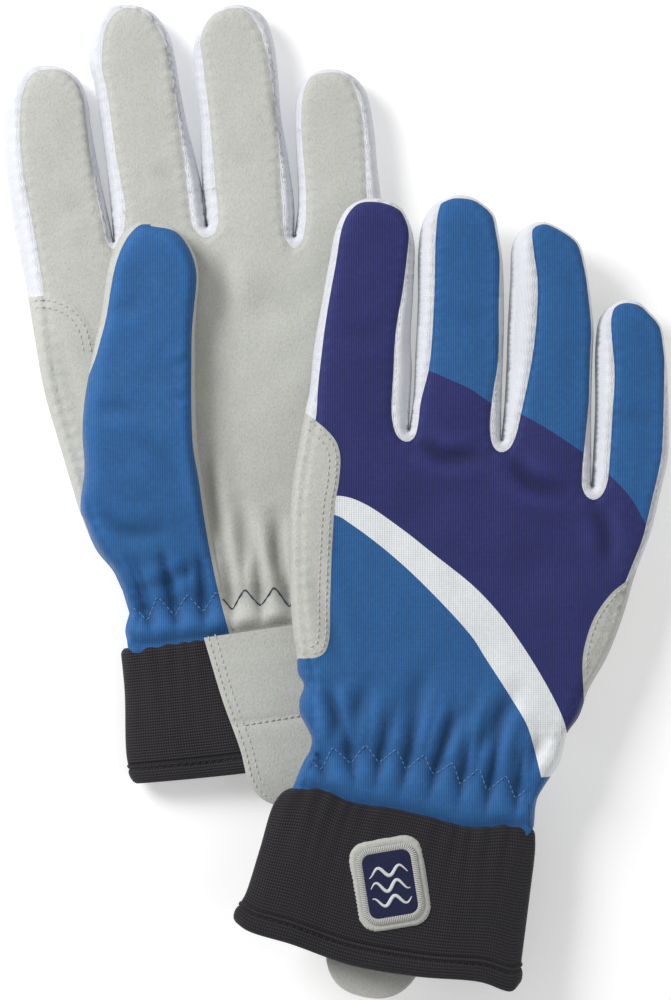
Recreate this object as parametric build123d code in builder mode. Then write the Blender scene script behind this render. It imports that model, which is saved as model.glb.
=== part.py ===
from build123d import *

# A pair of five-finger sailing gloves lying flat on a table, the right one leaning on the left.
# Row frame: +Z up, +Y towards the fingertips, origin at the bottom centre of the pair's box.
# Each glove is drawn in its own palm-up frame, where z = 0 is the back of the hand and
# z = THICK is the palm. The left glove lies in that frame as drawn. The right one is turned
# over about Y, so that its back is up, and leans down from the left glove to the table.
import os
from dataclasses import dataclass
from math import cos, radians, sin

# Driving dimensions, in millimetres and degrees.
THICK = 14.0  # one glove laid flat
SKIN = 1.0  # palm and back panels
WALL = 1.6  # side wall: gusset strips and wrapped panel edges
FIT = 0.1  # room between pieces sewn to each other
HINGE_GAP = 0.3  # each side of a line where a stall folds
THUMB_THICK = 12.0
THUMB_LIFT = 0.3  # room between a folded thumb and the palm
LINING = 0.8
ELASTIC = 1.0
ELASTIC_WIDTH = 6.0
ELASTIC_INSET = 9.0  # from the wrist seam to the elastic
PATCH_WIDTH = 15.0
CUFF_LOW, CUFF_HIGH = 1.6, 12.3  # the knit tube, in the glove's thickness
CUFF_WALL = 1.8
HEM_LENGTH = 7.0
HEM_PROUD = 0.5
TAB_THICK = 1.5
BADGE_WIDTH, BADGE_HEIGHT = 24.0, 30.0
BADGE_THICK = 0.7
BADGE_RIM = 3.4
LEAN = 7.0  # the right glove's slope, down to its little finger
RIGHT_TOP = 33.2  # height of the right glove's back over the origin
CENTRE = (-0.77, -1.34)  # moves both gloves, so that the pair's box is centred on the origin


@dataclass
class Stall:
    """A finger or thumb: the centre of its base line, and its shape from there."""

    base: tuple
    lean: float  # degrees from +Y towards +X
    length: float
    base_width: float
    tip_width: float

    def at(self, far, side=0.0):
        """The point far along the stall from its base line, and side across it."""
        turn = radians(self.lean)
        x = self.base[0] + far * sin(turn) + side * cos(turn)
        y = self.base[1] + far * cos(turn) - side * sin(turn)
        return (x, y)


@dataclass
class Glove:
    """One glove, drawn palm up. Lists run from the thumb's side to the little finger's."""

    name: str
    plane: Plane
    thumb_sign: int  # the thumb is on this side, along X
    fingers: dict
    thumb: Stall
    thumb_side: list  # outline from the wrist seam to the index finger
    little_side: list  # outline from the little finger to the wrist seam
    crotches: list
    patch_span: tuple  # highest and lowest y of the thumb crotch patch
    little_strip_end: float  # where the white strip ends below the little finger
    palm_wrap_end: float  # where the suede wrapped round the little side ends
    thumb_root: list  # outline of the fixed thumb base, from its little side round
    ramp: float  # length over which the thumb base rises from the palm
    cuff: list  # corners: wrist thumb side, wrist little side, hem little side, hem thumb side
    tab_top: tuple  # the pull tab's two corners at the wrist seam
    tab_hem: tuple  # its two corners at the hem
    tab_reach: float  # how far its round end passes the hem


LEFT = Glove(
    name="left",
    plane=Plane(origin=(*CENTRE, 0)),
    thumb_sign=-1,
    fingers={
        "index": Stall((-93.8, 95.9), -6.4, 53.4, 32.0, 27.4),
        "middle": Stall((-60.9, 99.3), -7.3, 71.0, 31.4, 28.4),
        "ring": Stall((-28.7, 97.9), -4.3, 72.0, 30.4, 27.2),
        "little": Stall((1.6, 103.4), -4.0, 44.3, 27.8, 24.8),
    },
    thumb=Stall((-67.3, 24.5), 5.4, 70.7, 37.0, 28.0),
    thumb_side=[(-70.9, -49.3), (-72.9, -32.0), (-87.6, -4.1), (-99.8, 37.7), (-105.4, 69.4)],
    little_side=[(16.8, 78.2), (16.5, 51.0), (13.8, 17.0), (10.4, -13.6), (6.6, -38.4)],
    crotches=[(-76.0, 86.0), (-43.8, 89.0), (-13.6, 86.0)],
    patch_span=(69.4, -14.0),
    little_strip_end=71.0,
    palm_wrap_end=24.0,
    thumb_root=[(-44.7, -5.4), (-42.3, -19.7), (-36.6, -60.0), (-100.0, -60.0), (-100.0, -4.0), (-84.4, 8.0)],
    ramp=66.0,
    cuff=[(-73.6, -51.0), (10.7, -39.1), (24.0, -86.4), (-69.2, -96.9)],
    tab_top=((-44.9, -46.8), (-8.7, -41.7)),
    tab_hem=((-31.0, -92.7), (-1.0, -89.2)),
    tab_reach=14.0,
)

RIGHT = Glove(
    name="right",
    plane=Plane(
        origin=(*CENTRE, RIGHT_TOP),
        x_dir=(-cos(radians(LEAN)), 0, sin(radians(LEAN))),
        z_dir=(-sin(radians(LEAN)), 0, -cos(radians(LEAN))),
    ),
    thumb_sign=1,
    fingers={
        "index": Stall((-8.2, 32.3), -3.9, 70.2, 34.0, 27.4),
        "middle": Stall((-42.6, 32.3), 0.4, 71.0, 31.0, 27.6),
        "ring": Stall((-73.0, 25.5), 0.8, 69.2, 27.4, 26.2),
        "little": Stall((-101.6, 11.9), 0.9, 56.4, 25.4, 23.8),
    },
    thumb=Stall((-36.0, -54.4), 0.0, 68.0, 31.0, 25.0),
    thumb_side=[(13.8, -97.6), (10.2, -83.6), (12.8, -58.0), (15.6, -20.4), (14.8, 3.0)],
    little_side=[(-108.8, -10.9), (-99.0, -38.0), (-85.4, -67.0), (-72.0, -88.0), (-67.7, -111.5)],
    crotches=[(-24.8, 19.7), (-57.6, 16.3), (-87.6, 0.3)],
    patch_span=(24.0, -53.4),
    little_strip_end=-20.4,
    palm_wrap_end=-67.0,
    thumb_root=[(-53.0, -70.0), (-40.0, -112.0), (40.0, -112.0), (40.0, -75.0), (-20.0, -68.0)],
    ramp=13.0,
    cuff=[(17.4, -97.6), (-68.5, -113.2), (-63.0, -164.7), (34.5, -141.8)],
    tab_top=((-7.0, -102.0), (-43.8, -109.0)),
    tab_hem=((0.5, -150.0), (-29.0, -156.7)),
    tab_reach=13.4,
)


def polygon(points):
    """The face with these corners."""
    with BuildSketch() as face:
        with BuildLine():
            Polyline(*points, close=True)
        make_face()
    return face.sketch


def slab(glove, face, low, high, mode=Mode.ADD):
    """Adds to the current part the solid over this face, between two heights in the glove."""
    with BuildSketch(glove.plane.offset(low)) as profile:
        add(face)
    return extrude(profile.sketch, amount=high - low, mode=mode)


def between(first, second, share):
    """The point that lies share of the way from first to second."""
    return Vector(first) + (Vector(second) - Vector(first)) * share


def stall_face(stall, inset=0.0, start=HINGE_GAP):
    """A stall's outline: tapered sides and a round tip."""
    half, tip = stall.base_width / 2 - inset, stall.tip_width / 2 - inset
    reach = stall.length - stall.tip_width / 2
    with BuildSketch() as face:
        with BuildLine():
            Polyline(stall.at(reach, -tip), stall.at(start, -half), stall.at(start, half), stall.at(reach, tip))
            ThreePointArc(stall.at(reach, tip), stall.at(reach + tip), stall.at(reach, -tip))
        make_face()
    return face.sketch


def across_wrist(glove):
    """Unit vectors along the wrist seam, towards the little finger, and up from it."""
    across = (Vector(glove.little_side[-1]) - Vector(glove.thumb_side[0])).normalized()
    return across, Vector(0, 0, 1).cross(across) * -glove.thumb_sign


def side_points(glove, thumb_side, inset):
    """One side of the hand, moved in by inset: from the wrist seam up to the finger's base."""
    across, _ = across_wrist(glove)
    if thumb_side:
        finger, inward, line = glove.fingers["index"], 1, glove.thumb_side
    else:
        finger, inward, line = glove.fingers["little"], -1, glove.little_side[::-1]
    half = inward * glove.thumb_sign * finger.base_width / 2
    with BuildLine() as side:
        Spline(*line, finger.at(-HINGE_GAP, half))
    edge = side.edge()
    points = [Vector(line[0]) + across * inset * inward]
    for step in range(1, 12):
        normal = Vector(0, 0, 1).cross(edge.tangent_at(step / 12)) * glove.thumb_sign * inward
        points.append(edge.position_at(step / 12) + normal * inset)
    inner_half = half - inward * glove.thumb_sign * inset
    return [*points, finger.at(-HINGE_GAP, inner_half)]


def hand_face(glove, inset=0.0):
    """The hand's outline, or its inside: from the wrist seam to the finger base lines."""
    sign, roots = glove.thumb_sign, []
    for number, finger in enumerate(glove.fingers.values()):
        half = sign * (finger.base_width / 2 - inset)
        roots += [finger.at(-HINGE_GAP, half), finger.at(-HINGE_GAP, -half)]
        if number < len(glove.crotches):
            x, y = glove.crotches[number]
            roots += [(x + sign * inset, y), (x, y - inset), (x - sign * inset, y)] if inset else [(x, y)]
    thumb_side, little_side = side_points(glove, True, inset), side_points(glove, False, inset)
    with BuildSketch() as face:
        with BuildLine():
            Spline(*thumb_side)
            Polyline(*roots)
            Spline(*little_side)
            Line(little_side[0], thumb_side[0])
        make_face()
    return face.sketch


def inside_face(glove, clear):
    """The hand's outline less its side wall and a little room."""
    return hand_face(glove, WALL + clear)


def wrist_band(glove, start, end):
    """A wide band across the hand, from start to end above the wrist seam."""
    across, up = across_wrist(glove)
    one, two = Vector(glove.thumb_side[0]) - across * 60, Vector(glove.little_side[-1]) + across * 60
    return polygon([one + up * start, two + up * start, two + up * end, one + up * end])


def side_strip(glove, thumb_side, start, end, high, low):
    """A strip along one side of the hand, between two insets and between two heights."""
    outer, inner = side_points(glove, thumb_side, start), side_points(glove, thumb_side, end)
    with BuildSketch() as face:
        with BuildLine():
            Spline(*outer)
            Line(outer[-1], inner[-1])
            Spline(*inner)
            Line(inner[0], outer[0])
        make_face()
        add(polygon([(-200, high), (200, high), (200, low), (-200, low)]), mode=Mode.INTERSECT)
    return face.sketch


def crotch_box(glove, number):
    """The region that holds the wall of one finger crotch."""
    fingers = list(glove.fingers.values())
    first, second = fingers[number], fingers[number + 1]
    low = glove.crotches[number][1] - 2.5 * WALL
    return polygon([first.at(1), second.at(1), (second.base[0], low), (first.base[0], low)])


def sleeve(glove, clear, thickness, low, high, band):
    """Adds a thin sleeve that follows the hand's inside, kept to a band above the wrist."""
    for inset, mode in ((0.0, Mode.ADD), (thickness, Mode.SUBTRACT)):
        with BuildSketch() as face:
            add(inside_face(glove, clear + inset))
            add(band, mode=Mode.INTERSECT)
        slab(glove, face.sketch, low + inset, high - inset, mode)


def patch_face(glove, clear=0.0):
    """The patch's flat flap, a strip along the thumb side of the hand."""
    high, low = glove.patch_span
    return side_strip(glove, True, WALL, PATCH_WIDTH + clear, high + clear, low - clear)


def root_face(glove, grow=0.0):
    """The fixed thumb base's outline, over the palm."""
    half = glove.thumb_sign * glove.thumb.base_width / 2
    corners = [glove.thumb.at(-HINGE_GAP, half), glove.thumb.at(-HINGE_GAP, -half)]
    with BuildSketch() as face:
        add(polygon([*corners, *glove.thumb_root]))
        if grow:
            offset(amount=grow, kind=Kind.INTERSECTION, mode=Mode.REPLACE)
    return face.sketch


def write(builder, name):
    """Labels a finished piece and writes it as one STEP file."""
    builder.part.label = name
    export_step(builder.part, f"parts/{name}.step")


def finger_pieces(glove, name, stall):
    """A finger's suede front, fabric back, and the gusset strip that runs round its tip."""
    for face, low in (("front", THICK - SKIN), ("back", 0.0)):
        with BuildPart() as panel:
            slab(glove, stall_face(stall, WALL + FIT), low, low + SKIN)
        write(panel, f"{glove.name}_{name}_{face}")
    with BuildPart() as gusset:
        slab(glove, stall_face(stall), 0, THICK)
        slab(glove, stall_face(stall, WALL, start=0), 0, THICK, Mode.SUBTRACT)
    write(gusset, f"{glove.name}_{name}_gusset")


def thumb_pieces(glove):
    """The thumb: a flat suede front against the palm, and a domed fabric back."""
    low, high = THICK + THUMB_LIFT, THICK + THUMB_LIFT + THUMB_THICK
    with BuildPart() as front:
        slab(glove, stall_face(glove.thumb), low, low + SKIN)
    write(front, f"{glove.name}_thumb_front")
    with BuildPart() as back:
        slab(glove, stall_face(glove.thumb), low + SKIN, high)
        slab(glove, stall_face(glove.thumb, SKIN, start=0), low + SKIN, high - SKIN, Mode.SUBTRACT)
    write(back, f"{glove.name}_thumb_back")


def palm_and_back(glove):
    """The suede palm and the fabric back, and the edge of each that wraps the hand's sides."""
    patch_low = glove.patch_span[1]
    with BuildSketch() as face:
        add(inside_face(glove, FIT))
        add(patch_face(glove, FIT), mode=Mode.SUBTRACT)
    with BuildPart() as back:
        slab(glove, face.sketch, 0, SKIN)
    write(back, f"{glove.name}_back_panel")
    with BuildPart() as palm:
        slab(glove, face.sketch, THICK - SKIN, THICK)
        slab(glove, root_face(glove, FIT), THICK - 2 * SKIN, THICK + SKIN, Mode.SUBTRACT)
    write(palm, f"{glove.name}_palm_panel")
    palm_edge_face = side_strip(glove, False, 0, WALL, glove.little_strip_end - FIT, glove.palm_wrap_end)
    with BuildPart() as palm_edge:
        slab(glove, palm_edge_face, 0, THICK)
    write(palm_edge, f"{glove.name}_palm_edge")
    for side, thumb_side, high in (("thumb", True, patch_low), ("little", False, glove.palm_wrap_end)):
        with BuildPart() as back_edge:
            slab(glove, side_strip(glove, thumb_side, 0, WALL, high - FIT, -200), 0, THICK)
        write(back_edge, f"{glove.name}_back_edge_{side}")


def gusset_webs(glove):
    """The white strip on the hand: round three finger crotches and down both outer sides."""
    with BuildSketch() as regions:
        for number in range(len(glove.crotches)):
            add(crotch_box(glove, number))
    with BuildSketch() as crotches:
        add(hand_face(glove))
        add(inside_face(glove, 0), mode=Mode.SUBTRACT)
        add(regions.sketch, mode=Mode.INTERSECT)
    with BuildPart() as webs:
        slab(glove, crotches.sketch, 0, THICK)
        slab(glove, side_strip(glove, True, 0, WALL, 200, glove.patch_span[0] + FIT), 0, THICK)
        slab(glove, side_strip(glove, False, 0, WALL, 200, glove.little_strip_end), 0, THICK)
    write(webs, f"{glove.name}_gusset_webs")


def crotch_patch(glove):
    """The suede reinforcement folded round the hand's edge between thumb and index finger."""
    with BuildPart() as patch:
        slab(glove, side_strip(glove, True, 0, WALL, *glove.patch_span), 0, THICK)
        slab(glove, patch_face(glove), THICK - SKIN, THICK)
        slab(glove, root_face(glove, FIT), THICK - SKIN, THICK, Mode.SUBTRACT)
        slab(glove, patch_face(glove), 0, SKIN)
    write(patch, f"{glove.name}_thumb_crotch_patch")


def slope_plane(glove, drop):
    """The thumb base's sloping top, lowered by drop: from the palm up to the thumb's back."""
    half, top = glove.thumb.base_width / 2, THICK + THUMB_LIFT + THUMB_THICK - drop
    one, two, low = (
        glove.plane.from_local_coords(Vector(*glove.thumb.at(far, side), height))
        for far, side, height in ((0, -half, top), (0, half, top), (-glove.ramp, 0, THICK - drop))
    )
    return Plane(origin=one, x_dir=two - one, z_dir=(low - one).cross(two - one))


def thumb_base(glove):
    """The fabric that carries on from the thumb's back to the wrist, over the thumb hole."""
    low, high = THICK - SKIN, THICK + THUMB_LIFT + THUMB_THICK
    half = glove.thumb.base_width / 2 - SKIN
    with BuildSketch() as outline:
        add(inside_face(glove, FIT))
        add(root_face(glove), mode=Mode.INTERSECT)
    with BuildSketch() as hollow:
        add(inside_face(glove, FIT + SKIN))
        add(root_face(glove, -SKIN), mode=Mode.INTERSECT)
        add(polygon([glove.thumb.at(far, side * half) for far, side in ((-4, -1), (-4, 1), (1, 1), (1, -1))]))
    with BuildPart() as room:
        slab(glove, hollow.sketch, low - 1, high)
        split(bisect_by=slope_plane(glove, SKIN), keep=Keep.BOTTOM)
    with BuildPart() as base:
        slab(glove, outline.sketch, low, high)
        split(bisect_by=slope_plane(glove, 0), keep=Keep.BOTTOM)
        slab(glove, outline.sketch, low, THICK)
        add(room.part, mode=Mode.SUBTRACT)
    write(base, f"{glove.name}_thumb_base")


def lining_and_elastic(glove):
    """The hand's loose lining, and the elastic band sewn inside the wrist below it."""
    low, high = SKIN + FIT, THICK - SKIN - FIT
    above = ELASTIC_INSET + ELASTIC_WIDTH + 1
    with BuildPart() as lining:
        sleeve(glove, 2 * FIT, LINING, low, high, wrist_band(glove, above, above + 200))
        slab(glove, root_face(glove, FIT), high - LINING - 1, high + 1, Mode.SUBTRACT)
    write(lining, f"{glove.name}_hand_lining")
    with BuildPart() as elastic:
        band = wrist_band(glove, ELASTIC_INSET, ELASTIC_INSET + ELASTIC_WIDTH)
        sleeve(glove, 2 * FIT, ELASTIC, low, high, band)
    write(elastic, f"{glove.name}_wrist_elastic")


def knit_tube(glove, corners, low, high):
    """Adds a flattened tube over this outline, open at the wrist end and at the hem end."""
    one, two, three, four = (Vector(corner) for corner in corners)
    for inset, mode in ((0.0, Mode.ADD), (CUFF_WALL, Mode.SUBTRACT)):
        across_top, across_low = (two - one).normalized() * inset, (three - four).normalized() * inset
        past = (one - four).normalized() * inset
        face = polygon(
            [one + across_top + past, two - across_top + past, three - across_low - past, four + across_low - past]
        )
        slab(glove, face, low + inset, high - inset, mode)


def cuff_pieces(glove):
    """The black knit cuff and the folded hem at its mouth."""
    wrist_one, wrist_two, hem_two, hem_one = glove.cuff
    seam = 1 - HEM_LENGTH / (Vector(hem_one) - Vector(wrist_one)).length
    seam_one, seam_two = between(wrist_one, hem_one, seam), between(wrist_two, hem_two, seam)
    with BuildPart() as cuff:
        knit_tube(glove, [wrist_one, wrist_two, seam_two, seam_one], CUFF_LOW, CUFF_HIGH)
    write(cuff, f"{glove.name}_cuff")
    with BuildPart() as hem:
        knit_tube(glove, [seam_one, seam_two, hem_two, hem_one], CUFF_LOW - HEM_PROUD, CUFF_HIGH)
    write(hem, f"{glove.name}_hem_binding")


def pull_tab(glove):
    """The suede tab on the palm side of the cuff, and its free round end past the hem."""
    low = CUFF_HIGH + FIT
    hem_one, hem_two = (Vector(corner) for corner in glove.tab_hem)
    down = (Vector(glove.cuff[3]) - Vector(glove.cuff[0])).normalized()
    with BuildPart() as tab:
        slab(glove, polygon([*glove.tab_top, hem_two, hem_one]), low, low + TAB_THICK)
    write(tab, f"{glove.name}_pull_tab")
    start_one, start_two = hem_one + down * 2 * HINGE_GAP, hem_two + down * 2 * HINGE_GAP
    narrow, side = (start_two - start_one) * 0.03, down * glove.tab_reach * 0.3
    end_one, end_two = start_one + narrow + side, start_two - narrow + side
    tip = between(start_one, start_two, 0.5) + down * glove.tab_reach
    with BuildSketch() as face:
        with BuildLine():
            Polyline(end_one, start_one, start_two, end_two)
            ThreePointArc(end_two, tip, end_one)
        make_face()
    with BuildPart() as end:
        slab(glove, face.sketch, low, low + TAB_THICK)
    write(end, f"{glove.name}_tab_end")


def badge(glove):
    """A plain two-layer badge on the back of the cuff: a suede rim under a woven face."""
    top, bottom = between(*glove.cuff[:2], 0.5), between(*glove.cuff[2:], 0.5)
    centre, axis = between(top, bottom, 0.5), top - bottom
    turn = axis.get_signed_angle(Vector(0, 1, 0)) * -1
    backing_low = CUFF_LOW - FIT - BADGE_THICK
    for name, rim, low in (("badge_backing", 0.0, backing_low), ("badge_face", BADGE_RIM, backing_low - BADGE_THICK)):
        with BuildSketch() as face:
            with Locations(Location((centre.X, centre.Y, 0), (0, 0, turn))):
                RectangleRounded(BADGE_WIDTH - 2 * rim, BADGE_HEIGHT - 2 * rim, 6 - rim)
        with BuildPart() as layer:
            slab(glove, face.sketch, low, low + BADGE_THICK)
        write(layer, f"{glove.name}_{name}")


def main():
    os.makedirs("parts", exist_ok=True)
    for glove in (LEFT, RIGHT):
        for name, stall in glove.fingers.items():
            finger_pieces(glove, name, stall)
        thumb_pieces(glove)
        palm_and_back(glove)
        gusset_webs(glove)
        crotch_patch(glove)
        thumb_base(glove)
        lining_and_elastic(glove)
        cuff_pieces(glove)
        pull_tab(glove)
        badge(glove)


main()
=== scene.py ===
"""The look of a pair of sailing gloves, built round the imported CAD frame.

Lengths are in millimetres, and `make` turns them into metres.
"""

import math

import bpy
import numpy as np
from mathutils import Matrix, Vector
from mathutils.geometry import delaunay_2d_cdt

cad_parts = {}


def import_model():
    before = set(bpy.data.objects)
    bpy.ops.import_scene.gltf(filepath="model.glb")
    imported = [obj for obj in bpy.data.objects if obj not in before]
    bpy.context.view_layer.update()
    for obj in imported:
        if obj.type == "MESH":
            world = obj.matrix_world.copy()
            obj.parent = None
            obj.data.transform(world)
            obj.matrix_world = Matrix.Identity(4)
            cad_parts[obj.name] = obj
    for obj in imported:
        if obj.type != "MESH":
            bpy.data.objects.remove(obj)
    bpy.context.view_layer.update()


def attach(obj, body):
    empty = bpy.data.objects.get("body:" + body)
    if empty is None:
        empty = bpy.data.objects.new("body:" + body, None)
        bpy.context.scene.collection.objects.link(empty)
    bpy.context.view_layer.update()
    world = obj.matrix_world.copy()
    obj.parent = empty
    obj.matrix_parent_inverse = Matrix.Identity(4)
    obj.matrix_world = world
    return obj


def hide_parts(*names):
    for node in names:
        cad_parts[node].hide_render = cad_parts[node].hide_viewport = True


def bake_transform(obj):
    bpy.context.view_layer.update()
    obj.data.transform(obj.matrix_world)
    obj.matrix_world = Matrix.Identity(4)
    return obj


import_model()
MM = 0.001
rng = np.random.default_rng(7)

# Heights of the two gloves, and where the pair's own middle lies in the row frame.
HALF = 7.0  # half a hand's thickness
LEFT_MID = HALF
LEAN = math.radians(7.0)  # the right glove leans from the left one down to the table
RIGHT_TOP = 33.2
RIGHT_MID = RIGHT_TOP - HALF / math.cos(LEAN)
CENTRE_X, CENTRE_Y = -0.77, -1.34
GRID = 1.15  # spacing of the surface points

# ---- Outlines and seams, in the row frame. A point given twice is a corner. ----

# The hands: the silhouette from the wrist round the fingers, and the seam of the panel inside it.
LEFT_OUT = [
    (-71.7, -50.6), (-72.7, -46.6), (-71.3, -40.1), (-73.7, -32.3), (-76.8, -25.8), (-82.9, -18),
    (-88.3, -5.4), (-91.2, 4.1), (-95.5, 18.4), (-100.6, 36.4), (-103.6, 53.1), (-106.2, 69),
    (-110.1, 88.8), (-113.1, 107.8), (-114.4, 127.2), (-113.8, 134.7), (-112.7, 139.1), (-108.7, 145.2),
    (-101.9, 147.4), (-94.4, 146.6), (-88.8, 142.7), (-85.6, 135.3), (-84.6, 127.2), (-81.5, 109.8),
    (-77.4, 90.5), (-76.8, 87.2), (-76.8, 87.2), (-77.4, 94.9), (-80.2, 121.1), (-83.2, 140.1),
    (-85.3, 148.3), (-85.3, 154.7), (-84.6, 160.2), (-83.2, 163.6), (-78.8, 167.3), (-72.3, 168.3),
    (-64.5, 166.3), (-59.4, 160.8), (-57, 156.1), (-55.9, 151.3), (-54.1, 140.1), (-51.6, 127.2),
    (-48.2, 113.2), (-46.3, 104.4), (-44.9, 92.6), (-44.9, 92.6), (-46.3, 104.4), (-46.8, 116.6),
    (-47.2, 129.6), (-48.9, 141.5), (-49.4, 151.3), (-48.5, 157.4), (-44.5, 164.6), (-34.9, 168.3),
    (-29.2, 167), (-25.4, 164.2), (-22.4, 157.4), (-20.7, 146.9), (-19.4, 129.6), (-16.9, 114.9),
    (-14.9, 99.3), (-14.9, 89), (-14.9, 89), (-13.6, 99.3), (-13.9, 112.2), (-14.5, 127.2),
    (-14.2, 134), (-11.5, 141.8), (-8.1, 144.9), (-3, 146.2), (2.5, 145.2), (6.5, 142.7), (9.6, 138.4),
    (11, 134), (12.7, 123.4), (13.5, 113.2), (14.7, 102.7), (16.1, 76.9), (15.7, 49.7), (13, 15.7),
    (9.6, -14.9), (5.9, -39.8),
]
LEFT_IN = [
    (-68.6, -50.6), (-69.3, -46.6), (-67.9, -40.1), (-70.3, -32.3), (-73.4, -23.8), (-79.5, -15.6),
    (-84.2, -4.1), (-87, 5.5), (-91, 19.7), (-95.8, 37.1), (-98.5, 53.1), (-100.2, 69), (-103.6, 90.5),
    (-106.3, 104.1), (-108, 116.6), (-108.4, 127.9), (-107.4, 138.1), (-104, 144.2), (-99.5, 145.5),
    (-93.8, 144.9), (-89, 140.8), (-86.3, 134), (-84.9, 120), (-81.9, 101), (-80, 92), (-79.2, 87.4),
    (-76.9, 84.3), (-74.2, 86.3), (-72.4, 97.6), (-73.7, 105.8), (-75.7, 116.6), (-78.8, 138.4),
    (-80.5, 146.6), (-80.2, 154), (-78.8, 160.2), (-75.4, 165.3), (-71.3, 166.6), (-64.9, 164.2),
    (-59.4, 155.7), (-57.7, 149.6), (-55, 132.3), (-51.6, 107.8), (-50.9, 100.7), (-49.9, 93.5),
    (-47.8, 89.4), (-45.3, 88.2), (-42.2, 89.6), (-40.8, 93.6), (-41.9, 107.8), (-43.8, 129.6),
    (-45.8, 146.9), (-46.8, 156.4), (-42.8, 163.9), (-34.9, 166.6), (-30.9, 165.3), (-27.1, 159.8),
    (-24.7, 153), (-22.4, 140.1), (-20.3, 121.1), (-19.3, 103.7), (-18.7, 93.5), (-17.7, 87.6),
    (-15.1, 84.5), (-12.2, 87.1), (-10.8, 97.6), (-11.1, 107.8), (-12.5, 127.2), (-11.5, 138.4),
    (-8.8, 143.2), (-3, 144.5), (1.8, 143.8), (4.8, 140.8), (7.9, 131.3), (9.3, 116.6), (9.9, 102),
    (11.3, 76.9), (11, 49.7), (8.2, 15.7), (4.8, -14.9), (1.4, -39.8),
]
# The suede patches on the thumb side: the sewn edge, and corners past the silhouette.
PATCH_SEAM_LEFT = [
    (-106.7, 67.7), (-100.2, 68.2), (-94.4, 66.9), (-88.8, 63.6), (-84.8, 57.8), (-82.6, 48.6),
    (-82, 32.7), (-82.2, 19.1), (-83.6, 5.5), (-84.9, -5.4), (-86.6, -9.5),
]
PATCH_OUTSIDE_LEFT = [(-94.4, -9.5), (-104.6, 25.9), (-111.4, 56.5)]
# The left thumb's silhouette, and the seams between its blue back and its suede rim.
THUMB_OUT = [
    (-73.7, -32.3), (-76.8, -25.8), (-82.9, -18), (-86.6, -8.1), (-87.8, -5.4), (-86.3, 9),
    (-86.7, 20.5), (-86.1, 31.2), (-84.9, 39.2), (-83.5, 46.5), (-82.5, 52), (-80.5, 60.5),
    (-79.1, 70.7), (-77.6, 78.6), (-74.7, 86.4), (-71.3, 91.1), (-66.9, 93.5), (-63.3, 93.2),
    (-57, 91.8), (-51.9, 87.7), (-48.5, 81.6), (-47.2, 74.8), (-47.9, 65), (-48.4, 56.5), (-48.4, 43.5),
    (-48.2, 29.3), (-47.5, 16.3), (-45.8, 5.5), (-44.1, -6.8), (-41.7, -21.1), (-39, -34), (-36, -45.9),
    (-35, -49.6), (-46, -51.2), (-70.6, -53.4), (-72.2, -49), (-72.7, -46), (-71.3, -40.1),
]
THUMB_RIM = [
    (-63.3, 91.5), (-55.3, 89.8), (-51.9, 86.4), (-49, 80.6), (-47.9, 74.8), (-48.6, 65), (-49.4, 56.5),
    (-49.6, 43.5), (-49.6, 29.3), (-49, 16.3), (-47.2, 5.5), (-45.5, -6.8), (-43.1, -21.1),
    (-40.4, -34), (-37.3, -45.9), (-36.4, -49.6),
]
THUMB_RIM_LEFT = [
    (-84.9, 40), (-82.2, 46.5), (-80.3, 53), (-78.4, 60.5), (-76.8, 70.5), (-75.3, 78), (-72.9, 84.6),
    (-70.3, 88.8), (-66.9, 91.9), (-63.6, 92.1),
]
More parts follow.
